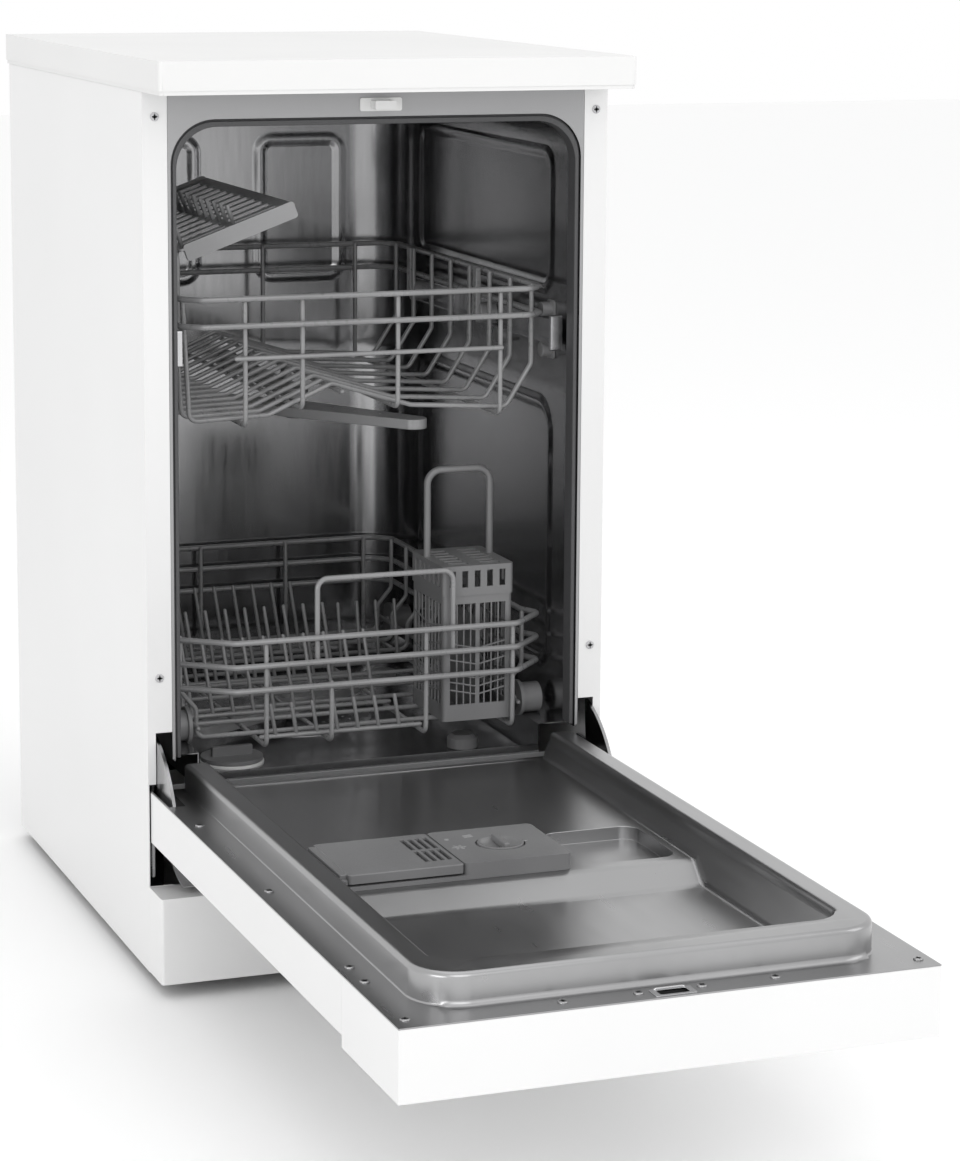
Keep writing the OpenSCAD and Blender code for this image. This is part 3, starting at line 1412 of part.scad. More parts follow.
// Fold-down cup shelf with clips round its pivot wire and two combs
module cup_shelf() {
    teeth = 13;
    color(grey) translate([shelf_x, 0, shelf_z]) rotate([0, -shelf_tilt, 0]) {
        difference() {
            slab([5, shelf_y0, -1], [shelf_w, shelf_y1, 1.2], 3);
            for (i = [0 : teeth - 2], k = [0, 1])
                block([14 + k * 54, shelf_y0 + 12 + i * (shelf_l - 20) / (teeth - 1), -5],
                    [60 + k * 52, shelf_y0 + 26 + i * (shelf_l - 20) / (teeth - 1), 5]);
        }
        for (y = [shelf_y0 + 2, shelf_y1 - 2])
            slab2([10, -12], [shelf_w - 1, 4], 3, y - 2, y + 2);
        for (i = [0 : teeth - 1], x = [11, 64])
            block([x - 1.5, shelf_y0 + 6 + i * (shelf_l - 20) / (teeth - 1), 1],
                [x + 1.5, shelf_y0 + 10 + i * (shelf_l - 20) / (teeth - 1), 22]);
        for (y = [shelf_y0 + 20, shelf_y0 + 92, shelf_y0 + 164, shelf_y0 + 236])
            difference() {
                union() {
                    pin_y(0, y - 7, y + 7, 0, wire_r + 3.4);
                    block([0, y - 7, -1.5], [8, y + 7, 1.5]);
                }
                pin_y(0, y - 8, y + 8, 0, wire_r + play);
            }
    }
}

worktop();
side_panel_left();
side_panel_right();
back_panel();
base_tray();
plinth();
tub();
tub_collar();
door_seal();
door_strike();
sweep_panel();
hinge_brackets();
panel_screws();
sump();
filter_plate();
circulation_pump();
drain_pump();
water_softener();
feed_pipe();
inlet_valve();
rail_guides();
foot_front_left();
foot_front_right();
foot_rear_left();
foot_rear_right();
filter_cup();
salt_cap();
float_dome();
lower_spray_arm();
door_panel();
control_panel();
door_liner();
hinge_arms();
dispenser_body();
door_screws();
door_latch();
detergent_lid();
rinse_aid_cap();
power_button();
program_button();
indicator_lens();
upper_rack_frame();
upper_rack_wires();
upper_spray_arm();
upper_feed_pipe();
cup_shelf();
upper_rails();
lower_rack_frame();
lower_rack_wires();
lower_rack_tines();
cutlery_basket();
basket_cover();
wheel_left_1();
wheel_left_2();
wheel_left_3();
wheel_left_4();
wheel_right_1();
wheel_right_2();
wheel_right_3();
wheel_right_4();
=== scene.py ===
import json
import math

import bmesh
import bpy
from mathutils import Matrix, Vector


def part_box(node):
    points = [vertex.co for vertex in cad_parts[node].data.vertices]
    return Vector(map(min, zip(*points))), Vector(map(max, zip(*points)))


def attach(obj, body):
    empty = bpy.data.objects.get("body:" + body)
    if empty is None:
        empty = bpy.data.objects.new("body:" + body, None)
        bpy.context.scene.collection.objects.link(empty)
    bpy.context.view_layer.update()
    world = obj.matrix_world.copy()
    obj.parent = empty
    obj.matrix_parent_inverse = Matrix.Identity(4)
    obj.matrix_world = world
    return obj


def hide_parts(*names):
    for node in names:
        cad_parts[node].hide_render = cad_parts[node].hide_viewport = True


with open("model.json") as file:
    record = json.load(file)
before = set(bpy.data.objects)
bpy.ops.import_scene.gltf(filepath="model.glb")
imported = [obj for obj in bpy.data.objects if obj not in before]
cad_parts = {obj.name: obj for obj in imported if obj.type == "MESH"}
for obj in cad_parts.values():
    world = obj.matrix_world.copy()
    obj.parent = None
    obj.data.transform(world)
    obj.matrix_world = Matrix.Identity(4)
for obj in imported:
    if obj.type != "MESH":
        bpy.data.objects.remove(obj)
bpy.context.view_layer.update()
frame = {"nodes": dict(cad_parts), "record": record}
nodes = frame["nodes"]
print("frame loaded,", len(nodes), "nodes")


# material helpers

def newMaterial(name):
    mat = bpy.data.materials.new(name)
    mat.use_nodes = True
    tree = mat.node_tree
    return mat, tree, tree.nodes["Principled BSDF"]


def objectCoords(tree, scale=(1, 1, 1), turn=(0, 0, 0)):
    coords = tree.nodes.new("ShaderNodeTexCoord")
    mapping = tree.nodes.new("ShaderNodeMapping")
    mapping.inputs["Scale"].default_value = scale
    mapping.inputs["Rotation"].default_value = turn
    tree.links.new(coords.outputs["Object"], mapping.inputs["Vector"])
    return mapping.outputs["Vector"]


def noise(tree, vector, scale, detail=3.0, rough=0.5):
    tex = tree.nodes.new("ShaderNodeTexNoise")
    tex.inputs["Scale"].default_value = scale
    tex.inputs["Detail"].default_value = detail
    tex.inputs["Roughness"].default_value = rough
    tree.links.new(vector, tex.inputs["Vector"])
    return tex.outputs["Fac"]


def ramp(tree, fac, low, high, start=0.3, end=0.7):
    node = tree.nodes.new("ShaderNodeValToRGB")
    node.color_ramp.elements[0].position = start
    node.color_ramp.elements[1].position = end
    node.color_ramp.elements[0].color = (*low, 1)
    node.color_ramp.elements[1].color = (*high, 1)
    tree.links.new(fac, node.inputs["Fac"])
    return node.outputs["Color"]


def spread(tree, fac, low, high):
    node = tree.nodes.new("ShaderNodeMapRange")
    node.inputs["To Min"].default_value = low
    node.inputs["To Max"].default_value = high
    tree.links.new(fac, node.inputs["Value"])
    return node.outputs["Result"]


def bump(tree, shader, height, strength, distance=0.001):
    node = tree.nodes.new("ShaderNodeBump")
    node.inputs["Strength"].default_value = strength
    node.inputs["Distance"].default_value = distance
    tree.links.new(height, node.inputs["Height"])
    tree.links.new(node.outputs["Normal"], shader.inputs["Normal"])


# white powder coat: faint orange peel and a hint of unevenness in its gloss
def whiteEnamel():
    mat, tree, shader = newMaterial("whiteEnamel")
    vector = objectCoords(tree)
    peel = noise(tree, vector, 420, 2)
    cloud = noise(tree, vector, 3, 2)
    tree.links.new(ramp(tree, cloud, (0.7, 0.7, 0.7), (0.73, 0.73, 0.73)), shader.inputs["Base Color"])
    tree.links.new(spread(tree, cloud, 0.26, 0.36), shader.inputs["Roughness"])
    bump(tree, shader, peel, 0.05, 0.0004)
    shader.inputs["Coat Weight"].default_value = 0.25
    shader.inputs["Coat Roughness"].default_value = 0.12
    return mat


# white melamine board: a touch warmer and duller than the enamel, with a fine print grain
def whiteLaminate():
    mat, tree, shader = newMaterial("whiteLaminate")
    grain = noise(tree, objectCoords(tree, (1, 1, 4)), 260, 3)
    cloud = noise(tree, objectCoords(tree), 4, 2)
    tree.links.new(ramp(tree, cloud, (0.69, 0.69, 0.687), (0.72, 0.72, 0.717)), shader.inputs["Base Color"])
    tree.links.new(spread(tree, grain, 0.34, 0.44), shader.inputs["Roughness"])
    bump(tree, shader, grain, 0.04, 0.0003)
    return mat


# polished stainless steel: soft draw lines along the sheet and cloudy polish
def polishedSteel(name, base, roughLow, roughHigh, stretch=(6, 60, 60), wave=0.06):
    mat, tree, shader = newMaterial(name)
    lines = noise(tree, objectCoords(tree, stretch), 4, 2, 0.4)
    cloud = noise(tree, objectCoords(tree), 5, 2)
    tone = [c * 0.88 for c in base]
    tree.links.new(ramp(tree, cloud, tone, base), shader.inputs["Base Color"])
    tree.links.new(spread(tree, lines, roughLow, roughHigh), shader.inputs["Roughness"])
    bump(tree, shader, cloud, wave, 0.004)
    shader.inputs["Metallic"].default_value = 1.0
    return mat


def greyLacquer():
    mat, tree, shader = newMaterial("greyLacquer")
    flakes = noise(tree, objectCoords(tree), 1600, 2)
    tree.links.new(ramp(tree, flakes, (0.3, 0.3, 0.305), (0.37, 0.37, 0.375)), shader.inputs["Base Color"])
    shader.inputs["Metallic"].default_value = 0.35
    shader.inputs["Roughness"].default_value = 0.34
    bump(tree, shader, flakes, 0.03, 0.0003)
    return mat


def rubber():
    mat, tree, shader = newMaterial("sealRubber")
    grain = noise(tree, objectCoords(tree), 900, 3)
    tree.links.new(ramp(tree, grain, (0.045, 0.045, 0.047), (0.075, 0.075, 0.078)),
                   shader.inputs["Base Color"])
    tree.links.new(spread(tree, grain, 0.5, 0.66), shader.inputs["Roughness"])
    bump(tree, shader, grain, 0.12, 0.0003)
    return mat


# moulded plastic with a fine spark-eroded grain
def mouldedPlastic(name, dark, light, rough, grainSize=700, grainDepth=0.1):
    mat, tree, shader = newMaterial(name)
    vector = objectCoords(tree)
    grain = noise(tree, vector, grainSize, 2)
    cloud = noise(tree, vector, 9, 2)
    tree.links.new(ramp(tree, cloud, dark, light), shader.inputs["Base Color"])
    tree.links.new(spread(tree, grain, rough - 0.06, rough + 0.06), shader.inputs["Roughness"])
    bump(tree, shader, grain, grainDepth, 0.0004)
    return mat


# nylon-dipped wire: thick glossy coat that runs a little
def nylonWire():
    mat, tree, shader = newMaterial("nylonWire")
    vector = objectCoords(tree)
    runs = noise(tree, vector, 160, 2)
    tree.links.new(ramp(tree, noise(tree, vector, 12, 2), (0.2, 0.2, 0.203), (0.26, 0.26, 0.264)),
                   shader.inputs["Base Color"])
    tree.links.new(spread(tree, runs, 0.22, 0.36), shader.inputs["Roughness"])
    bump(tree, shader, runs, 0.15, 0.0006)
    shader.inputs["Coat Weight"].default_value = 0.3
    shader.inputs["Coat Roughness"].default_value = 0.15
    return mat


def zincSheet():
    mat, tree, shader = newMaterial("zincSheet")
    vector = objectCoords(tree)
    spangle = tree.nodes.new("ShaderNodeTexVoronoi")
    spangle.inputs["Scale"].default_value = 55
    spangle.inputs["Randomness"].default_value = 1.0
    tree.links.new(vector, spangle.inputs["Vector"])
    tone = tree.nodes.new("ShaderNodeRGBToBW")
    tree.links.new(spangle.outputs["Color"], tone.inputs["Color"])
    tree.links.new(ramp(tree, tone.outputs["Val"], (0.44, 0.445, 0.45), (0.5, 0.505, 0.51), 0.1, 0.9),
                   shader.inputs["Base Color"])
    tree.links.new(spread(tree, tone.outputs["Val"], 0.36, 0.46), shader.inputs["Roughness"])
    shader.inputs["Metallic"].default_value = 1.0
    return mat


def smokedWindow():
    mat, tree, shader = newMaterial("smokedWindow")
    cloud = noise(tree, objectCoords(tree), 30, 2)
    tree.links.new(ramp(tree, cloud, (0.012, 0.012, 0.013), (0.022, 0.022, 0.023)),
                   shader.inputs["Base Color"])
    tree.links.new(spread(tree, cloud, 0.05, 0.1), shader.inputs["Roughness"])
    shader.inputs["Coat Weight"].default_value = 0.6
    return mat


mats = {
    "enamel": whiteEnamel(),
    "laminate": whiteLaminate(),
    "tubSteel": polishedSteel("tubSteel", (0.36, 0.36, 0.365), 0.12, 0.26, (50, 50, 5)),
    "linerSteel": polishedSteel("linerSteel", (0.39, 0.39, 0.394), 0.25, 0.34, (20, 3, 20), 0.02),
    "hardwareSteel": polishedSteel("hardwareSteel", (0.62, 0.62, 0.63), 0.16, 0.3, (40, 8, 40)),
    "lacquer": greyLacquer(),
    "rubber": rubber(),
    "greyPlastic": mouldedPlastic("greyPlastic", (0.15, 0.15, 0.153), (0.19, 0.19, 0.193), 0.36),
    "armPlastic": mouldedPlastic("armPlastic", (0.27, 0.27, 0.275), (0.33, 0.33, 0.335), 0.34),
    "sumpPlastic": mouldedPlastic("sumpPlastic", (0.13, 0.13, 0.135), (0.18, 0.18, 0.185), 0.45),
    "blackPlastic": mouldedPlastic("blackPlastic", (0.02, 0.02, 0.021), (0.035, 0.035, 0.036), 0.5),
    "whitePlastic": mouldedPlastic("whitePlastic", (0.66, 0.66, 0.655), (0.72, 0.72, 0.715), 0.3, 500, 0.05),
    "buttonPlastic": mouldedPlastic("buttonPlastic", (0.42, 0.42, 0.43), (0.5, 0.5, 0.51), 0.26, 900, 0.05),
    "wire": nylonWire(),
    "zinc": zincSheet(),
    "window": smokedWindow(),
}

slotMaterials = {
    "white_paint": "enamel", "white_board": "laminate", "screw_head": "whitePlastic", "galvanised": "zinc",
    "polished_steel": "tubSteel", "collar_paint": "lacquer", "seal_rubber": "rubber",
    "strike_plastic": "whitePlastic", "base_plastic": "blackPlastic", "sump_plastic": "sumpPlastic",
    "grey_plastic": "greyPlastic", "arm_plastic": "armPlastic", "coated_wire": "wire",
    "button_plastic": "buttonPlastic", "smoked_window": "window",
}

# nodes that look different from the rest of their slot
nodeMaterials = {
    "door_liner": "linerSteel", "door_screws": "hardwareSteel", "hinge_arms": "tubSteel",
    "hinge_brackets": "tubSteel", "cup_shelf": "armPlastic", "filter_plate": "hardwareSteel",
    "upper_rails": "hardwareSteel",
}

for part in frame["record"]["subparts"]:
    node = nodes[part["node"]]
    mat = mats[nodeMaterials.get(part["node"], slotMaterials[part["material_slot"]])]
    node.data.materials.clear()
    node.data.materials.append(mat)
print("materials set on the solids")


# modelling helpers, all in millimetres until a piece is finished

def keepPiece(mesh, name, body, mat, replaced=(), smooth=35, flat=False):
    mesh.materials.clear()
    mesh.materials.append(mats[mat])
    mesh.shade_smooth()
    mesh.set_sharp_from_angle(angle=math.radians(smooth))
    obj = bpy.data.objects.new(name, mesh)
    bpy.context.scene.collection.objects.link(obj)
    if flat:
        weights = obj.modifiers.new("flatFaces", "WEIGHTED_NORMAL")
        weights.mode = "FACE_AREA"
        weights.keep_sharp = True
    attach(obj, body)
    if replaced:
        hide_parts(*replaced)
    return obj


def finishPiece(bm, name, body, mat, replaced=(), smooth=35, flat=True):
    bmesh.ops.remove_doubles(bm, verts=bm.verts, dist=0.001)
    bmesh.ops.scale(bm, vec=(0.001, 0.001, 0.001), verts=bm.verts)
    mesh = bpy.data.meshes.new(name)
    bm.to_mesh(mesh)
    bm.free()
    return keepPiece(mesh, name, body, mat, replaced, smooth, flat)


def addBox(bm, low, high):
    low, high = Vector(low), Vector(high)
    place = Matrix.Translation((low + high) / 2) @ Matrix.Diagonal((*(high - low), 1))
    bmesh.ops.create_cube(bm, size=1, matrix=place)


def bevelEdges(bm, edges, width, segments=3, clamp=True):
    bmesh.ops.bevel(bm, geom=list(edges), offset=width, offset_type="OFFSET", affect="EDGES",
                    segments=segments, profile=0.5, material=-1, clamp_overlap=clamp)


def sharpEdges(bm, angle=30):
    return [e for e in bm.edges if e.is_manifold and abs(e.calc_face_angle(0)) > math.radians(angle)]


def vertsOf(geom):
    return [g for g in geom if isinstance(g, bmesh.types.BMVert)]


def toMillimetres(bm):
    bmesh.ops.scale(bm, vec=(1000, 1000, 1000), verts=bm.verts)


def softBox(bm, low, high, radius, segments=3):
    part = bmesh.new()
    addBox(part, low, high)
    bevelEdges(part, part.edges, radius, segments)
    joinInto(bm, part)


def joinInto(bm, part):
    mesh = bpy.data.meshes.new("joined")
    part.to_mesh(mesh)
    part.free()
    bm.from_mesh(mesh)
    bpy.data.meshes.remove(mesh)


# a corner path with its corners rounded, as a list of points
def roundedPath(points, bend, steps=5, closed=False):
    points = [Vector(p) for p in points]
    count = len(points)
    out = []
    for i, p in enumerate(points):
        if not closed and i in (0, count - 1):
            out.append(p)
            continue
        a = (points[i - 1] - p).normalized()
        b = (points[(i + 1) % count] - p).normalized()
        half = a.angle(b) / 2
        if half > math.radians(89):
            continue
        cut = bend / math.tan(half)
        centre = p + (a + b).normalized() * (bend / math.sin(half))
        start = p + a * cut - centre
        end = p + b * cut - centre
        axis = start.cross(end).normalized()
        sweep = start.angle(end)
        out += [centre + Matrix.Rotation(sweep * k / steps, 3, axis) @ start for k in range(steps + 1)]
    return out


# wires as round splines with domed ends, turned into one mesh
def wireMesh(name, wires, sides=3):
    curve = bpy.data.curves.new(name, "CURVE")
    curve.dimensions = "3D"
    curve.bevel_depth = 0.001
    curve.bevel_resolution = sides
    curve.use_fill_caps = True
    for points, radius, closed in wires:
        points = [Vector(p) for p in points]
        sizes = [radius] * len(points)
        if not closed:
            for end in (0, -1):
                inner = points[1] if end == 0 else points[-2]
                tip = points[end]
                along = (inner - tip).normalized()
                dome = [(tip, 0.12), (tip + along * radius * 0.13, 0.5), (tip + along * radius * 0.5, 0.86),
                        (tip + along * radius, 1.0)]
                if end == 0:
                    points = [q for q, f in dome] + points[1:]
                    sizes = [radius * f for q, f in dome] + sizes[1:]
                else:
                    points = points[:-1] + [q for q, f in reversed(dome)]
                    sizes = sizes[:-1] + [radius * f for q, f in reversed(dome)]
        spline = curve.splines.new("POLY")
        spline.points.add(len(points) - 1)
        spline.use_cyclic_u = closed
        for point, q, size in zip(spline.points, points, sizes):
            point.co = (*(q * 0.001), 1)
            point.radius = size
    obj = bpy.data.objects.new(name + "Curve", curve)
    bpy.context.scene.collection.objects.link(obj)
    mesh = bpy.data.meshes.new_from_object(obj.evaluated_get(bpy.context.evaluated_depsgraph_get()))
    bpy.data.objects.remove(obj)
    bpy.data.curves.remove(curve)
    mesh.name = name
    return mesh


# lower rack

lowerRack = {
    "front": -203, "back": 253, "half": 176, "rims": (308, 285, 262), "floor": 211, "longWire": 206.9,
    "rimWire": 2.8, "wire": 2.3, "weld": 0.5, "topOver": 2, "wireBend": 8,
    "rimFrom": -130, "rimTo": 150, "rimBulge": (10, 38, 58), "rimLeft": 34, "rimCorner": 18, "rimBend": 9,
    "longAt": (-99, -35, 59, 147), "lowAt": -35, "lowOver": 3.6,
    "handleX": (-49, 86), "handleUp": 55, "handleFoot": 4, "handleWire": 2.6, "handleBend": 10,
    "floorHalf": 156, "step": 242.5, "stepUp": 14, "stepDown": 4, "crossFirst": -159, "crossGap": 48.25,
    "crossCount": 9, "axle": 224.55, "axleWire": 3, "axleEnd": 188.5, "railInset": 20,
    "wheelAt": (-161.96, -61.64, 116.2, 216.52),
}

# each row: base wire from x to x, distance from the front, first tine, count, lean in x and y, rise
tineSize = {
    "gap": 20.5, "wire": 1.9, "over": 4.1,
    "rows": ((-101, 62, 24, -84, 7, -8, -8, 34), (-148, 64, 120, -138, 10, -10, 6, 74),
             (-148, 64, 250, -138, 10, -10, 6, 74), (-148, 64, 360, -138, 10, -10, 6, 74),
             (54, 150, 300, 72, 4, 0, 12, 60)),
}


def rimPath(z, size):
    half, y0, y1, corner = size["half"], size["front"], size["back"], size["rimCorner"]
    out, start, stop = size["rimBulge"]
    return roundedPath([(size["rimTo"], y0, z), (half + out, y0 + start, z), (half, y0 + stop, z),
                        (half, y1 - corner, z), (half - corner, y1, z), (-half + corner, y1, z),
                        (-half, y1 - corner, z), (-half, y0 + size["rimLeft"], z), (size["rimFrom"], y0, z)],
                       size["rimBend"], 5, closed=True)


def makeLowerRack(size):
    r, thick, bend = size["wire"], size["rimWire"], size["wireBend"]
    inY, endY = size["front"] + thick + r - size["weld"], size["back"] - thick - r + size["weld"]
    top, under = size["rims"][0] + size["topOver"], size["longWire"]
    wires = [(rimPath(z, size), thick, True) for z in size["rims"]]
    for at in size["longAt"]:
        frontTop = size["rims"][2] + size["lowOver"] if at == size["lowAt"] else top
        path = [(at, inY, frontTop), (at, inY, under), (at, endY, under), (at, endY, top)]
        wires.append((roundedPath(path, bend), r, False))
    (left, right), foot = size["handleX"], size["rims"][1] - size["handleFoot"]
    up = size["rims"][0] + size["handleUp"]
    handle = [(left, inY, foot), (left, inY, up), (right, inY, up), (right, inY, foot)]
    wires.append((roundedPath(handle, size["handleBend"], 7), size["handleWire"], False))
    keepPiece(wireMesh("lowerRackFrame", wires), "lowerRackFrame", "lower_rack", "wire",
              ["lower_rack_frame"])


def makeLowerCrossWires(size):
    r, bend, fh, low = size["wire"], size["wireBend"], size["floorHalf"], size["floor"]
    x = size["half"] - size["rimWire"] - r + size["weld"]
    top = size["rims"][0] + size["topOver"]
    high, knee = size["step"] + size["stepUp"], size["step"] - size["stepDown"]
    wires = []
    for i in range(size["crossCount"]):
        y = size["crossFirst"] + i * size["crossGap"]
        path = [(-x, y, top), (-x, y, high), (-fh, y, knee), (-fh, y, low), (fh, y, low), (fh, y, knee),
                (x, y, high), (x, y, top)]
        wires.append((roundedPath(path, bend), r, False))
    z = size["axle"]
    for side in (-1, 1):
        rail = side * (fh + 2 * r - size["weld"])
        ends = size["front"] + size["railInset"], size["back"] - size["railInset"]
        wires.append(([(rail, y, z) for y in ends], r, False))
        for y in size["wheelAt"]:
            wires.append(([(rail, y, z), (side * size["axleEnd"], y, z)], size["axleWire"], False))
    keepPiece(wireMesh("lowerRackCrossWires", wires), "lowerRackCrossWires", "lower_rack",
              "wire", ["lower_rack_wires"])


def makeTines(size, rack):
    z = rack["longWire"] + size["over"]
    wires = []
    for x0, x1, inset, first, count, leanX, leanY, rise in size["rows"]:
        y = rack["front"] + inset
        wires.append(([(x0, y, z), (x1, y, z)], rack["wire"], False))
        for i in range(count):
            x = first + i * size["gap"]
            wires.append(([(x, y, z), (x + leanX, y + leanY, z + rise)], size["wire"], False))
    keepPiece(wireMesh("lowerRackTines", wires), "lowerRackTines", "lower_rack", "wire",
              ["lower_rack_tines"])


makeLowerRack(lowerRack)
makeLowerCrossWires(lowerRack)
makeTines(tineSize, lowerRack)
print("lower rack wires made")


# upper rack

# the floor's profile pairs a place in x with its height over the floor
upperRack = {
    "front": -203, "back": 237, "half": 176, "rims": (629, 604), "floor": 514, "rimWire": 2.8, "wire": 2.3,
    "weld": 0.5, "topOver": 2, "wireBend": 8, "rimCorner": 16, "rimBend": 9,
    "short": 574, "shortX": (-130, 134), "shelfX": -171.4, "shelfZ": 667, "shelfY": (-162, 158),
    "shelfBend": 6, "longAt": (-118, -63, 30, 132), "longUnder": 4.5, "ridge": -24, "ridgeUnder": 4.3,
    "profile": ((-90, 3), (-28, 30), (50, 6), (146, 0)), "leftLift": 1.5, "leftFoot": 6, "rightFoot": 40,
    "crossFirst": -177, "crossGap": 27.857, "crossCount": 15,
}

rollerSize = {"y": (-33, 163), "x": 180.05, "z": 586, "radius": 10.4, "wide": 18.3, "edge": 1.2,
              "plateX": (167.2, 173.15), "plateHalf": 5, "plateZ": (582, 631)}


def floorLift(x, size):
    profile = size["profile"]
    if x < profile[0][0]:
        return size["leftLift"]
    for (a, low), (b, high) in zip(profile, profile[1:]):
        if x < b:
            return low + (high - low) * (x - a) / (b - a)


def makeUpperRack(size):
    r, thick, half, corner = size["wire"], size["rimWire"], size["half"], size["rimCorner"]
    y0, y1, floor, bend = size["front"], size["back"], size["floor"], size["wireBend"]
    inY, endY = y0 + thick + r - size["weld"], y1 - thick - r + size["weld"]
    top = size["rims"][0] + size["topOver"]
    wires = []
    for z in size["rims"]:
        rim = [(half - corner, y0, z), (half, y0 + corner, z), (half, y1 - corner, z),
               (half - corner, y1, z), (-half + corner, y1, z), (-half, y1 - corner, z),
               (-half, y0 + corner, z), (-half + corner, y0, z)]
        wires.append((roundedPath(rim, size["rimBend"], 5, closed=True), thick, True))
    wires.append(([(x, y0 + size["weld"], size["short"]) for x in size["shortX"]], r, False))
    x, z, foot, (s0, s1) = size["shelfX"], size["shelfZ"], size["rims"][1] - size["topOver"], size["shelfY"]
    shelfWire = [(x, s0, foot), (x, s0, z), (x, s1, z), (x, s1, foot)]
    wires.append((roundedPath(shelfWire, size["shelfBend"]), r, False))
    for x in size["longAt"]:
        z = floor - size["longUnder"] + floorLift(x, size)
        path = [(x, inY, top), (x, inY, z), (x, endY, z), (x, endY, top)]
        wires.append((roundedPath(path, bend), r, False))
    x = size["ridge"]
    z = floor - size["ridgeUnder"] + floorLift(x, size)
    wires.append(([(x, inY, z), (x, endY, z)], r, False))
    keepPiece(wireMesh("upperRackFrame", wires), "upperRackFrame", "upper_rack", "wire",
              ["upper_rack_frame"])


def makeUpperCrossWires(size, roller):
    x = size["half"] - size["rimWire"] - size["wire"] + size["weld"]
    top, floor = size["rims"][0] + size["topOver"], size["floor"]
    wires = []
    for i in range(size["crossCount"]):
        y = size["crossFirst"] + i * size["crossGap"]
        path = [(-x, y, top), (-x + size["leftFoot"], y, floor)]
        path += [(at, y, floor + lift) for at, lift in size["profile"]]
        path += [(x, y, floor + size["rightFoot"]), (x, y, top)]
        wires.append((roundedPath(path if i % 2 == 0 else path[:4], size["wireBend"]), size["wire"], False))
    bm = bmesh.new()
    bm.from_mesh(wireMesh("upperRackCrossWires", wires))
    toMillimetres(bm)
    r, edge, plate, (z0, z1) = roller["radius"], roller["edge"], roller["plateHalf"], roller["plateZ"]
    for side in (-1, 1):
        low, high = sorted(side * x for x in roller["plateX"])
        for y in roller["y"]:
            part = bmesh.new()
            place = Matrix.Translation((side * roller["x"], y, roller["z"]))
            bmesh.ops.create_cone(part, cap_ends=True, segments=40, radius1=r, radius2=r,
                                  depth=roller["wide"], matrix=place @ Matrix.Rotation(math.pi / 2, 4, "Y"))
            bevelEdges(part, sharpEdges(part), edge)
            joinInto(bm, part)
            softBox(bm, (low, y - plate, z0), (high, y + plate, z1), edge)
    finishPiece(bm, "upperRackCrossWires", "upper_rack", "wire", ["upper_rack_wires"])


makeUpperRack(upperRack)
makeUpperCrossWires(upperRack, rollerSize)
print("upper rack wires made")


# softened copies of the solids: their flat facets merged and their edges rounded

bodyOf = {node: body for body, members in frame["record"]["behaviour"]["bodies"].items() for node in members}
slotOf = {part["node"]: part["material_slot"] for part in frame["record"]["subparts"]}


def boxOf(node):
    return [Vector(corner) * 1000 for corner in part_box(node)]


# width of the rounding of each node's edges
softEdges = {
    "worktop": 2.2, "side_panel_left": 0.4, "side_panel_right": 0.4, "back_panel": 0.3, "plinth": 1.4,
    "base_tray": 0.6, "tub_collar": 0.3, "door_strike": 0.5, "hinge_brackets": 0.3, "sweep_panel": 0.3,
    "sump": 0.5, "filter_plate": 0.3, "circulation_pump": 0.8, "drain_pump": 0.8, "water_softener": 1.0,
    "feed_pipe": 0.5, "inlet_valve": 0.5, "rail_guides": 0.4, "filter_cup": 0.4, "salt_cap": 0.6,
    "float_dome": 0.6, "lower_spray_arm": 1.0, "upper_spray_arm": 1.0, "upper_feed_pipe": 0.5,
    "door_panel": 0.3, "control_panel": 0.6, "hinge_arms": 0.35, "dispenser_body": 0.6, "door_latch": 0.4,
    "power_button": 0.5, "program_button": 0.5, "indicator_lens": 0.2, "cup_shelf": 0.5, "upper_rails": 0.4,
    "basket_cover": 0.35, "foot_front_left": 0.6, "foot_front_right": 0.6, "foot_rear_left": 0.6,
    "foot_rear_right": 0.6,
}
softEdges.update({name: 0.5 for name in nodes if name.startswith("wheel_")})


def cleanCopy(node):
    bm = bmesh.new()
    bm.from_mesh(nodes[node].data)
    bmesh.ops.transform(bm, matrix=nodes[node].matrix_world, verts=bm.verts)
    toMillimetres(bm)
    bmesh.ops.remove_doubles(bm, verts=bm.verts, dist=0.002)
    bmesh.ops.dissolve_limit(bm, angle_limit=math.radians(1.0), verts=bm.verts, edges=bm.edges,
                             use_dissolve_boundaries=False, delimit=set())
    return bm


def softCopy(node, width):
    bm = cleanCopy(node)
    edges = [e for e in sharpEdges(bm, 32) if e.calc_length() > width * 0.6]
    bevelEdges(bm, edges, width, 2)
    mat = nodeMaterials.get(node, slotMaterials[slotOf[node]])
    words = node.split("_")
    name = words[0] + "".join(word.capitalize() for word in words[1:]) + "Soft"
    finishPiece(bm, name, bodyOf[node], mat, [node], 40)


for node, width in softEdges.items():
    softCopy(node, width)
print("soft copies made,", len(softEdges))


# screws: a domed head with a cross recess, its dome as pairs of shares of radius and height

screwSize = {"radius": 4, "panelHigh": 1.1, "doorHigh": 1.35, "cross": 0.62, "bar": 1.1, "recess": 0.7,
             "dome": ((1, 0.45), (0.93, 0.78), (0.78, 1)), "recessTaper": 0.8, "turn": 0.7,
             "alongEnd": (26, 87), "endRow": 15, "alongSide": (0.182, 0.484, 0.789, 0.842, 0.975)}


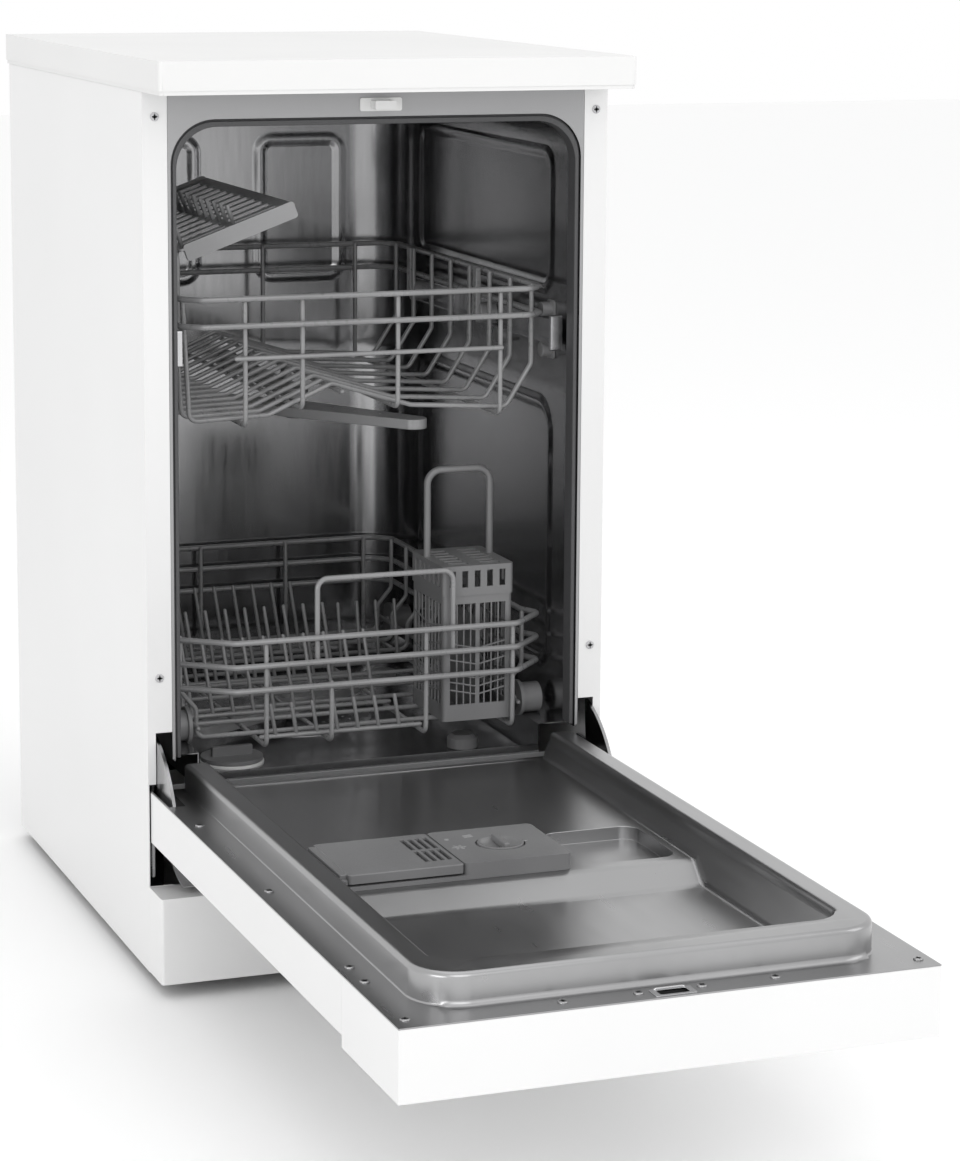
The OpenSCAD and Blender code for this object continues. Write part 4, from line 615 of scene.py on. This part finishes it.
def screwHead(bm, size, h, place):
    r, arm, bar = size["radius"], size["radius"] * size["cross"], size["bar"]
    part = bmesh.new()
    bmesh.ops.create_circle(part, cap_ends=True, segments=24, radius=r)
    edges = list(part.edges)
    for share, rise in size["dome"]:
        out = bmesh.ops.extrude_edge_only(part, edges=edges)["geom"]
        verts = vertsOf(out)
        edges = [g for g in out if isinstance(g, bmesh.types.BMEdge)]
        now = max(v.co.xy.length for v in verts)
        for v in verts:
            v.co.xy *= r * share / now
            v.co.z = h * rise
    grid = bmesh.ops.create_grid(part, x_segments=3, y_segments=3, size=arm)["verts"]
    for v in grid:
        for axis in (0, 1):
            if abs(v.co[axis]) < arm * 0.5:
                v.co[axis] = math.copysign(bar / 2, v.co[axis])
        v.co.z = h
    cells = list({f for v in grid for f in v.link_faces})
    corners = [f for f in cells if min(abs(c) for c in f.calc_center_median().xy) > bar / 2]
    inner = [f for f in cells if f not in corners]
    bmesh.ops.delete(part, geom=corners, context="FACES")
    outline = [e for f in inner for e in f.edges if e.is_boundary]
    bmesh.ops.bridge_loops(part, edges=outline + edges)
    out = bmesh.ops.extrude_face_region(part, geom=inner)["geom"]
    bmesh.ops.delete(part, geom=inner, context="FACES")
    down = vertsOf(out)
    bmesh.ops.translate(part, vec=(0, 0, -size["recess"]), verts=down)
    bmesh.ops.scale(part, vec=(size["recessTaper"], size["recessTaper"], 1), verts=down)
    bmesh.ops.recalc_face_normals(part, faces=part.faces)
    bmesh.ops.transform(part, matrix=place, verts=part.verts)
    joinInto(bm, part)


def makeScrews(size):
    r, h = size["radius"], size["panelHigh"]
    low, high = boxOf("panel_screws")
    bm = bmesh.new()
    for x in (low.x + r, high.x - r):
        for z in (low.z + r, high.z - r):
            place = Matrix.Translation((x, low.y + h, z)) @ Matrix.Rotation(math.pi / 2, 4, "X")
            screwHead(bm, size, h, place)
    finishPiece(bm, "panelScrewHeads", "cabinet", "buttonPlastic", ["panel_screws"])
    h, high, liner = size["doorHigh"], boxOf("door_screws")[1], boxOf("door_liner")
    farY, nearY = liner[0].y, liner[1].y
    rows = [(side * (high.x - r), nearY - (nearY - farY) * share) for side in (-1, 1)
            for share in size["alongSide"]]
    rows += [(side * x, farY + size["endRow"]) for side in (-1, 1) for x in size["alongEnd"]]
    bm = bmesh.new()
    for i, (x, y) in enumerate(rows):
        place = Matrix.Translation((x, y, high.z - h)) @ Matrix.Rotation(i * size["turn"], 4, "Z")
        screwHead(bm, size, h, place)
    finishPiece(bm, "doorScrewHeads", "door", "linerSteel", ["door_screws"])


makeScrews(screwSize)
print("screws made")


# rounded beads pressed into the tub's walls, over the square ones of the solid

beadSize = {"half": 8.5, "high": 2.3, "under": 0.5, "band": 6, "wallX": 194, "wallY": 262, "roofZ": 792,
            "backAt": 80, "backZ": 667, "backLoop": (94, 150, 16), "sideY": 13.5,
            "sideLoops": ((690, 377, 136, 22), (385, 377, 260, 30)), "roofLoop": (347, 258, 24)}


def beadLoop(bm, size, centre, across, up, wide, high, radius):
    centre, across, up = Vector(centre), Vector(across), Vector(up)
    normal = across.cross(up)
    a, b = across * (wide - size["band"]) / 2, up * (high - size["band"]) / 2
    path = roundedPath([centre + a + b, centre - a + b, centre - a - b, centre + a - b],
                       radius - size["band"] / 2, 8, closed=True)
    part = bmesh.new()
    part.from_mesh(wireMesh("bead", [(path, size["half"], True)], 8))
    toMillimetres(part)
    for v in part.verts:
        depth = (v.co - centre).dot(normal)
        aside = math.sqrt(max(0, 1 - (depth / size["half"]) ** 2))
        swell = size["high"] * (1 + math.cos(math.pi * aside)) / 2
        lift = swell if depth > 0 else -size["under"] * (1 - aside)
        v.co += normal * (lift - depth)
    joinInto(bm, part)


def makeBeads(size):
    bm = bmesh.new()
    for x in (-size["backAt"], size["backAt"]):
        beadLoop(bm, size, (x, size["wallY"], size["backZ"]), (1, 0, 0), (0, 0, 1), *size["backLoop"])
    for side in (-1, 1):
        for z, wide, tall, radius in size["sideLoops"]:
            place = (side * size["wallX"], size["sideY"], z)
            beadLoop(bm, size, place, (0, -side, 0), (0, 0, 1), wide, tall, radius)
    beadLoop(bm, size, (0, size["sideY"], size["roofZ"]), (0, 1, 0), (1, 0, 0), *size["roofLoop"])
    finishPiece(bm, "tubBeads", "cabinet", "tubSteel", [], 60, False)


makeBeads(beadSize)
print("tub beads made")


# door liner: the pressed sheet with its rim and pan edges drawn round

linerSize = {"sheet": 1, "rimBend": 4.5, "panBend": 5, "panReach": 178, "panUnder": 6, "scoopFrom": 56,
             "scoopAt": (240, 352), "scoopBend": 2, "rimHigh": 26, "footBend": 3, "wallX": (165, 192),
             "endFrom": (-893, -850), "strip": 1.4, "near": 0.05}


# a strip no wider than the sheet's own edge
def thinFace(face, size):
    return face.calc_area() / (face.calc_perimeter() / 2) < size["strip"]


# true where the wall of the rim meets the flange, along its sides and its far end
def atRimFoot(co, size):
    x, (inner, outer), (endLow, endHigh) = abs(co.x), size["wallX"], size["endFrom"]
    return x < outer and co.y > endLow and (x > inner or co.y < endHigh)


def makeLiner(size):
    bm = cleanCopy("door_liner")
    high, near = boxOf("door_liner")[1], size["near"]
    for down in (size["sheet"], 0):
        z = high.z - down
        rim = [e for e in sharpEdges(bm, 30) if all(abs(v.co.z - z) < near for v in e.verts)
               and not any(thinFace(f, size) for f in e.link_faces)]
        bevelEdges(bm, rim, size["rimBend"] - down, 4, clamp=False)
    pan = [e for e in sharpEdges(bm, 12)
           if all(abs(v.co.x) < size["panReach"] and v.co.z < high.z - size["panUnder"] for v in e.verts)
           and not any(thinFace(f, size) for f in e.link_faces)]
    front, back = [high.y - at for at in size["scoopAt"]]
    scoop = [e for e in pan if all(v.co.x > size["scoopFrom"] and back < v.co.y < front for v in e.verts)]
    bevelEdges(bm, [e for e in pan if e not in scoop], size["panBend"], 3, clamp=False)
    bevelEdges(bm, [e for e in scoop if e.is_valid], size["scoopBend"], 2)
    for down in (0, size["sheet"]):
        z = high.z - size["rimHigh"] - down
        foot = [e for e in sharpEdges(bm, 30)
                if all(abs(v.co.z - z) < near and atRimFoot(v.co, size) for v in e.verts)]
        bevelEdges(bm, foot, size["footBend"] + down)
    finishPiece(bm, "doorLinerPressed", "door", "linerSteel", ["door_liner"], 40)


makeLiner(linerSize)
print("door liner made")


# rubber seal: the moulding's lip and bead rounded over

sealSize = {"bend": 0.9, "shortest": 0.8}


def makeSeal(size):
    bm = cleanCopy("door_seal")
    bevelEdges(bm, [e for e in sharpEdges(bm, 32) if e.calc_length() > size["shortest"]], size["bend"])
    finishPiece(bm, "doorSealLip", "cabinet", "rubber", ["door_seal"], 40)


makeSeal(sealSize)
print("door seal made")


# cutlery basket: posts and bands round windows of fine mesh whose cross bars sag to a middle post

basketSize = {"wall": 2.2, "post": 7, "corner": 4, "band": 16, "topBand": 8, "bar": 1.5, "barDeep": 1.65,
              "middle": 4.5, "middleDeep": 1.8, "sag": 6, "rows": (0.12, 0.2, 0.28, 0.42, 0.58, 0.76),
              "columns": 4, "divider": 1, "dividerDown": 22, "dividerBend": 0.4, "overrun": 1}


def barBetween(bm, a, b, wide, deep, normal):
    a, b, normal = Vector(a), Vector(b), Vector(normal)
    along = b - a
    across = normal.cross(along).normalized()
    turn = Matrix((across, normal, along.normalized())).transposed().to_4x4()
    part = bmesh.new()
    bmesh.ops.create_cube(part, size=1, matrix=Matrix.Diagonal((wide, deep, along.length, 1)))
    long = [e for e in part.edges if abs(e.verts[0].co.z - e.verts[1].co.z) > 0.1]
    bevelEdges(part, long, min(wide, deep) * 0.3, 2)
    bmesh.ops.transform(part, matrix=Matrix.Translation((a + b) / 2) @ turn, verts=part.verts)
    joinInto(bm, part)


# a rounded box of one wall, open at the top, with a window in each side between two heights
def windowShell(size, low, high, z0, z1):
    post = size["post"]
    corners = [Vector((x, y, low.z)) for x, y in
               ((high.x, high.y), (low.x, high.y), (low.x, low.y), (high.x, low.y))]
    ring = []
    for i, corner in enumerate(corners):
        back = (corners[i - 1] - corner).normalized() * post
        ahead = (corners[(i + 1) % 4] - corner).normalized() * post
        ring += roundedPath([corner + back, corner, corner + ahead], size["corner"], 4)
    shell = bmesh.new()
    verts = [shell.verts.new(q) for q in ring]
    edges = [shell.edges.new((v, verts[(i + 1) % len(verts)])) for i, v in enumerate(verts)]
    bmesh.ops.contextual_create(shell, geom=edges)
    windows = []
    for z in (z0, z1, high.z):
        out = bmesh.ops.extrude_edge_only(shell, edges=edges)["geom"]
        edges = [g for g in out if isinstance(g, bmesh.types.BMEdge) and g.is_boundary]
        for v in {v for e in edges for v in e.verts}:
            v.co.z = z
        if z == z1:
            least = 0.5 * (z1 - z0) * (high.x - low.x - 2 * post)
            windows = [f for f in shell.faces if f.calc_area() > least and f.calc_center_median().z > z0]
    bmesh.ops.delete(shell, geom=windows, context="FACES_ONLY")
    bmesh.ops.recalc_face_normals(shell, faces=shell.faces)
    bmesh.ops.solidify(shell, geom=shell.faces, thickness=size["wall"])
    return shell


def makeBasket(size):
    low, high = boxOf("cutlery_basket")
    bm = bmesh.new()
    wall, post, bar, over, sag = size["wall"], size["post"], size["bar"], size["overrun"], size["sag"] / 2
    z0, z1 = low.z + size["band"], high.z - size["topBand"]
    joinInto(bm, windowShell(size, low, high, z0, z1))
    sides = []
    for y, normal in ((low.y + wall / 2, (0, -1, 0)), (high.y - wall / 2, (0, 1, 0))):
        sides.append(((low.x + post, y), (high.x - post, y), normal))
    for x, normal in ((low.x + wall / 2, (-1, 0, 0)), (high.x - wall / 2, (1, 0, 0))):
        sides.append(((x, low.y + post), (x, high.y - post), normal))
    for a, b, normal in sides:
        a, b = Vector(a), Vector(b)
        middle = (a + b) / 2
        barBetween(bm, (*middle, z0 - over), (*middle, z1 + over), size["middle"], size["middleDeep"], normal)
        for start, end in ((a, middle), (middle, b)):
            for i in range(1, size["columns"]):
                q = start.lerp(end, i / size["columns"])
                barBetween(bm, (*q, z0 - over), (*q, z1 + over), bar, bar, normal)
        for row in size["rows"]:
            z = z0 + (z1 - z0) * row
            for q in (a, b):
                barBetween(bm, (*q, z + sag), (*middle, z - sag), bar, size["barDeep"], normal)
    x, half = (low.x + high.x) / 2, size["divider"]
    softBox(bm, (x - half, low.y + over, low.z + over),
            (x + half, high.y - over, high.z - size["dividerDown"]), size["dividerBend"], 2)
    finishPiece(bm, "cutleryBasketMesh", bodyOf["cutlery_basket"], "greyPlastic",
                ["cutlery_basket"], 40)


makeBasket(basketSize)
print("cutlery basket made")


# rinse-aid cap: a dished disc with a grip across it

# the profile runs in radius and height from the underside's middle round to the dish's middle
capSize = {"grip": 5, "gripLong": 34, "gripHigh": 4.6, "gripBend": 1.6, "dish": 2.4,
           "profile": ((0, -2.8), (20, -2.8), (20, 0.6), (19.5, 1.2), (17.8, 1.2), (16, 0.2), (11, -1.92),
                       (0, -2.4))}


def makeRinseCap(size):
    low, high = boxOf("rinse_aid_cap")
    centre = (low + high) / 2
    top = high.z - size["gripHigh"]
    bm = bmesh.new()
    verts = [bm.verts.new((x, 0, z)) for x, z in size["profile"]]
    edges = [bm.edges.new(pair) for pair in zip(verts, verts[1:])]
    bmesh.ops.spin(bm, geom=verts + edges, cent=(0, 0, 0), axis=(0, 0, 1), dvec=(0, 0, 0), angle=math.tau,
                   steps=48, use_merge=True, use_duplicate=False)
    bmesh.ops.remove_doubles(bm, verts=bm.verts, dist=0.001)
    bmesh.ops.recalc_face_normals(bm, faces=bm.faces)
    bmesh.ops.translate(bm, vec=(centre.x, centre.y, top), verts=bm.verts)
    wide, long = size["grip"] / 2, size["gripLong"] / 2
    softBox(bm, (centre.x - wide, centre.y - long, top - size["dish"]),
            (centre.x + wide, centre.y + long, high.z), size["gripBend"], 3)
    finishPiece(bm, "rinseAidCapDished", "rinse_aid_cap", "greyPlastic",
                ["rinse_aid_cap"], 40)


makeRinseCap(capSize)
print("rinse-aid cap made")


# raised marks on the dispenser: a flake, a dot, three strokes and a dash

markSize = {"high": 0.35, "wide": 1.0, "edge": 0.2, "flake": (120, 48), "flakeLong": 13, "twigAt": 0.32,
            "twigLong": 3.2, "dot": (118, 73), "dotRadius": 2.2, "dotTaper": 0.85, "strokes": (138.5, 77),
            "strokeLong": 9, "strokeGap": 2.8, "strokeLean": 0.25, "dash": (180, 48), "dashLong": 5}


def markBar(bm, size, place, along, turn):
    part = bmesh.new()
    shape = Matrix.Diagonal((along, size["wide"], size["high"] * 2, 1))
    place = Matrix.Translation(place) @ Matrix.Rotation(turn, 4, "Z") @ shape
    bmesh.ops.create_cube(part, size=1, matrix=place)
    bevelEdges(part, part.edges, size["edge"], 2)
    joinInto(bm, part)


def makeMarks(size):
    low, high = boxOf("dispenser_body")
    bm = bmesh.new()

    def spot(at, dx=0, dy=0):
        return low.x + at[0] + dx, low.y + at[1] + dy, high.z

    for i in range(3):
        turn = math.pi * i / 3
        markBar(bm, size, spot(size["flake"]), size["flakeLong"], turn)
        for end in (-1, 1):
            reach = end * size["flakeLong"] * size["twigAt"]
            centre = spot(size["flake"], reach * math.cos(turn), reach * math.sin(turn))
            for lean in (-1, 1):
                markBar(bm, size, centre, size["twigLong"], turn + lean * math.pi / 4)
    r = size["dotRadius"]
    bmesh.ops.create_cone(bm, cap_ends=True, segments=28, radius1=r, radius2=r * size["dotTaper"],
                          depth=size["high"] * 2, matrix=Matrix.Translation(spot(size["dot"])))
    for i in (-1, 0, 1):
        at = spot(size["strokes"], 0, i * size["strokeGap"])
        markBar(bm, size, at, size["strokeLong"], size["strokeLean"])
    markBar(bm, size, spot(size["dash"]), size["dashLong"], 0)
    finishPiece(bm, "dispenserMarks", "door", "armPlastic", [], 30)


makeMarks(markSize)
print("dispenser marks made")


# detergent lid: a thin shell on its hinge pin, with two rows of slots over a black plate of painted shade

lidSize = {"wall": 2, "skirt": 8, "corner": 3, "round": 1.2, "hingeX": 6, "rearGap": 3.3, "slotWide": 4.2,
           "slotGap": 2.6, "slots": 4, "slotMargin": 4, "rows": ((17, 48), (53, 84)), "pinRadius": 1.4,
           "pinAt": (2.5, 6.5), "pinShort": 0.6, "near": 0.01}
knuckleSize = {"deep": 7.6, "front": 5.2, "rear": 8.5, "under": 8.7, "down": 0.5, "bend": 1}
tabSize = {"x": (41, 57), "deep": 4, "down": (1, 3), "bend": 0.5}
# size of a black plate under the lid's slots: painted shade that makes the hollow seen through them look dark
slotShadeSize = {"side": 1.5, "right": 2.4, "y": (15, 86), "thick": 1, "sunk": 0.1, "bend": 0.3}


# lines of the lid's top in x and y, from edge to edge with the slots' sides between
def slotLines(size, low, high):
    x0, x1 = low.x + size["hingeX"], high.x
    xs = [x0]
    for i in reversed(range(size["slots"])):
        edge = x1 - size["slotMargin"] - i * (size["slotWide"] + size["slotGap"])
        xs += [edge - size["slotWide"], edge]
    ys = [high.y - at for row in reversed(size["rows"]) for at in reversed(row)]
    return xs + [x1], [low.y] + ys + [high.y - size["rearGap"]]


def slottedTop(size, xs, ys, z):
    bm = bmesh.new()
    columns, rows = len(xs) - 1, len(ys) - 1
    bmesh.ops.create_grid(bm, x_segments=columns, y_segments=rows, size=1)
    for v in bm.verts:
        i, j = round((v.co.x + 1) / 2 * columns), round((v.co.y + 1) / 2 * rows)
        v.co = (xs[i], ys[j], z)
    back, front = size["rows"][0]
    slots = [f for f in bm.faces if abs(f.calc_area() - size["slotWide"] * (front - back)) < 1]
    bmesh.ops.delete(bm, geom=slots, context="FACES")
    return bm


def makeLid(size, knuckle, tab, slotShade):
    low, high = boxOf("detergent_lid")
    xs, ys = slotLines(size, low, high)
    bm = slottedTop(size, xs, ys, high.z)
    near = size["near"]
    outer = [e for e in bm.edges if e.is_boundary and all(
        min(v.co.x - xs[0], xs[-1] - v.co.x, v.co.y - ys[0], ys[-1] - v.co.y) < near for v in e.verts)]
    out = bmesh.ops.extrude_edge_only(bm, edges=outer)["geom"]
    bmesh.ops.translate(bm, vec=(0, 0, -size["skirt"]), verts=vertsOf(out))
    bmesh.ops.recalc_face_normals(bm, faces=bm.faces)
    bmesh.ops.dissolve_limit(bm, angle_limit=math.radians(1), verts=bm.verts, edges=bm.edges,
                             use_dissolve_boundaries=False, delimit=set())
    upright = [e for e in sharpEdges(bm, 60) if abs(e.verts[0].co.z - e.verts[1].co.z) > 1]
    bevelEdges(bm, upright, size["corner"], 4)
    bevelEdges(bm, [e for e in sharpEdges(bm, 60) if all(abs(v.co.z - high.z) < near for v in e.verts)],
               size["round"])
    bmesh.ops.solidify(bm, geom=bm.faces, thickness=size["wall"])
    softBox(bm, (low.x, low.y + knuckle["front"], high.z - knuckle["under"]),
            (low.x + knuckle["deep"], high.y - knuckle["rear"], high.z - knuckle["down"]), knuckle["bend"])
    softBox(bm, (low.x + tab["x"][0], high.y - tab["deep"], high.z - tab["down"][1]),
            (low.x + tab["x"][1], high.y, high.z - tab["down"][0]), tab["bend"], 2)
    r, (along, drop) = size["pinRadius"], size["pinAt"]
    place = Matrix.Translation((low.x + along, (ys[0] + ys[-1]) / 2, high.z - drop))
    bmesh.ops.create_cone(bm, cap_ends=True, segments=24, radius1=r, radius2=r,
                          depth=ys[-1] - ys[0] - size["pinShort"],
                          matrix=place @ Matrix.Rotation(math.pi / 2, 4, "X"))
    finishPiece(bm, "detergentLidShell", bodyOf["detergent_lid"], "greyPlastic",
                ["detergent_lid"], 40)
    # painted shade: a black plate just under the lid's top, darkening what shows through the slots
    bm = bmesh.new()
    top, (rear, front) = high.z - size["wall"], slotShade["y"]
    softBox(bm, (xs[1] - slotShade["side"], high.y - front, top - slotShade["thick"]),
            (xs[-1] - slotShade["right"], high.y - rear, top + slotShade["sunk"]), slotShade["bend"], 2)
    finishPiece(bm, "lidVentPlate", bodyOf["detergent_lid"], "blackPlastic", [])


makeLid(lidSize, knuckleSize, tabSize, slotShadeSize)
print("detergent lid made")


# latch mouth: a flat steel frame with a low rolled lip on the rim side

latchSize = {"half": (17, 8), "mouth": (12, 5), "thick": 0.7, "corner": 1.6, "edge": 0.2, "lipHalf": 11,
             "lipAt": 7.4, "lipHigh": 1.1, "lipFoot": 2, "lipBend": 3, "lipWire": 0.9}


def makeLatchFrame(size):
    low, high = boxOf("door_latch")
    face = boxOf("door_liner")[1].z - linerSize["rimHigh"]
    centre = Vector(((low.x + high.x) / 2, (low.y + high.y) / 2, face))
    (wide, deep), (mouthX, mouthY) = size["half"], size["mouth"]
    bm = bmesh.new()
    bmesh.ops.create_grid(bm, x_segments=3, y_segments=3, size=1)
    for v in bm.verts:
        v.co.x = math.copysign(wide if abs(v.co.x) > 0.5 else mouthX, v.co.x)
        v.co.y = math.copysign(deep if abs(v.co.y) > 0.5 else mouthY, v.co.y)
    middle = [f for f in bm.faces if f.calc_center_median().length < 0.1]
    bmesh.ops.delete(bm, geom=middle, context="FACES")
    out = bmesh.ops.extrude_face_region(bm, geom=bm.faces)["geom"]
    bmesh.ops.translate(bm, vec=(0, 0, size["thick"]), verts=vertsOf(out))
    bmesh.ops.recalc_face_normals(bm, faces=bm.faces)
    corners = [e for e in sharpEdges(bm, 60) if abs(e.verts[0].co.z - e.verts[1].co.z) > 0.1]
    bevelEdges(bm, corners, size["corner"], 3)
    bevelEdges(bm, sharpEdges(bm, 60), size["edge"], 2)
    bmesh.ops.translate(bm, vec=centre, verts=bm.verts)
    reach, y, z = size["lipHalf"], size["lipAt"], size["lipHigh"]
    foot = reach + size["lipFoot"]
    lip = [centre + Vector(p) for p in ((-foot, y, 0), (-reach, y, z), (reach, y, z), (foot, y, 0))]
    part = bmesh.new()
    part.from_mesh(wireMesh("latchLip", [(roundedPath(lip, size["lipBend"], 4), size["lipWire"], False)], 5))
    toMillimetres(part)
    joinInto(bm, part)
    finishPiece(bm, "latchFrame", "door", "hardwareSteel", [])


makeLatchFrame(latchSize)
print("latch frame made")


# camera, light and floor

cameraPlace = {"at": (-0.9812, -3.0927, 0.9891), "yaw": 0.3612, "pitch": 0.1611, "roll": 0.0065,
               "focal": 3322.0, "centre": (480, 440), "image": (960, 1161), "sensor": 36}

# place, aim, size and power of each light
lights = {
    "frontSoftbox": ((-0.4, -3.6, 2.0), (0, -0.2, 0.4), (2.4, 2.0), 22),
    "rightSoftbox": ((2.6, -1.8, 2.2), (0, -0.2, 0.4), (1.8, 2.2), 14),
    "topSoftbox": ((0, -0.6, 3.2), (0, -0.3, 0), (2.6, 2.6), 9),
    "lowFill": ((-2.6, -2.4, 0.7), (-0.1, -0.6, 0.2), (1.6, 1.0), 14),
}
floorReach = 12


def placeCamera(size):
    data = bpy.data.cameras.new("photoCamera")
    cam = bpy.data.objects.new("photoCamera", data)
    bpy.context.scene.collection.objects.link(cam)
    wide, high = size["image"]
    data.sensor_fit = "AUTO"
    data.sensor_width = size["sensor"]
    data.lens = size["focal"] * size["sensor"] / high
    data.shift_x = (wide / 2 - size["centre"][0]) / high
    data.shift_y = (size["centre"][1] - high / 2) / high
    turn = (Matrix.Rotation(-size["yaw"], 4, "Z") @ Matrix.Rotation(math.pi / 2 - size["pitch"], 4, "X")
            @ Matrix.Rotation(size["roll"], 4, "Z"))
    cam.matrix_world = Matrix.Translation(size["at"]) @ turn
    data.clip_end = 30
    bpy.context.scene.camera = cam


def softLight(name, at, aim, size, power):
    data = bpy.data.lights.new(name, "AREA")
    data.shape = "RECTANGLE"
    data.size, data.size_y = size
    data.energy = power
    lamp = bpy.data.objects.new(name, data)
    lamp.location = at
    lamp.rotation_euler = (Vector(aim) - Vector(at)).to_track_quat("-Z", "Y").to_euler()
    bpy.context.scene.collection.objects.link(lamp)


def paleFloor(reach):
    bm = bmesh.new()
    bmesh.ops.create_grid(bm, x_segments=1, y_segments=1, size=reach)
    mesh = bpy.data.meshes.new("studioFloor")
    bm.to_mesh(mesh)
    bm.free()
    obj = bpy.data.objects.new("studioFloor", mesh)
    bpy.context.scene.collection.objects.link(obj)
    mat, _, shader = newMaterial("paleFloor")
    shader.inputs["Base Color"].default_value = (0.96, 0.96, 0.96, 1)
    shader.inputs["Roughness"].default_value = 0.6
    mesh.materials.append(mat)


placeCamera(cameraPlace)
for name, (at, aim, size, power) in lights.items():
    softLight(name, at, aim, size, power)
world = bpy.data.worlds.new("studioWorld")
world.use_nodes = True
world.node_tree.nodes["Background"].inputs["Color"].default_value = (1, 1, 1, 1)
world.node_tree.nodes["Background"].inputs["Strength"].default_value = 1.0
bpy.context.scene.world = world
bpy.context.scene.view_settings.view_transform = "Standard"
paleFloor(floorReach)
print("camera, lights and floor placed")
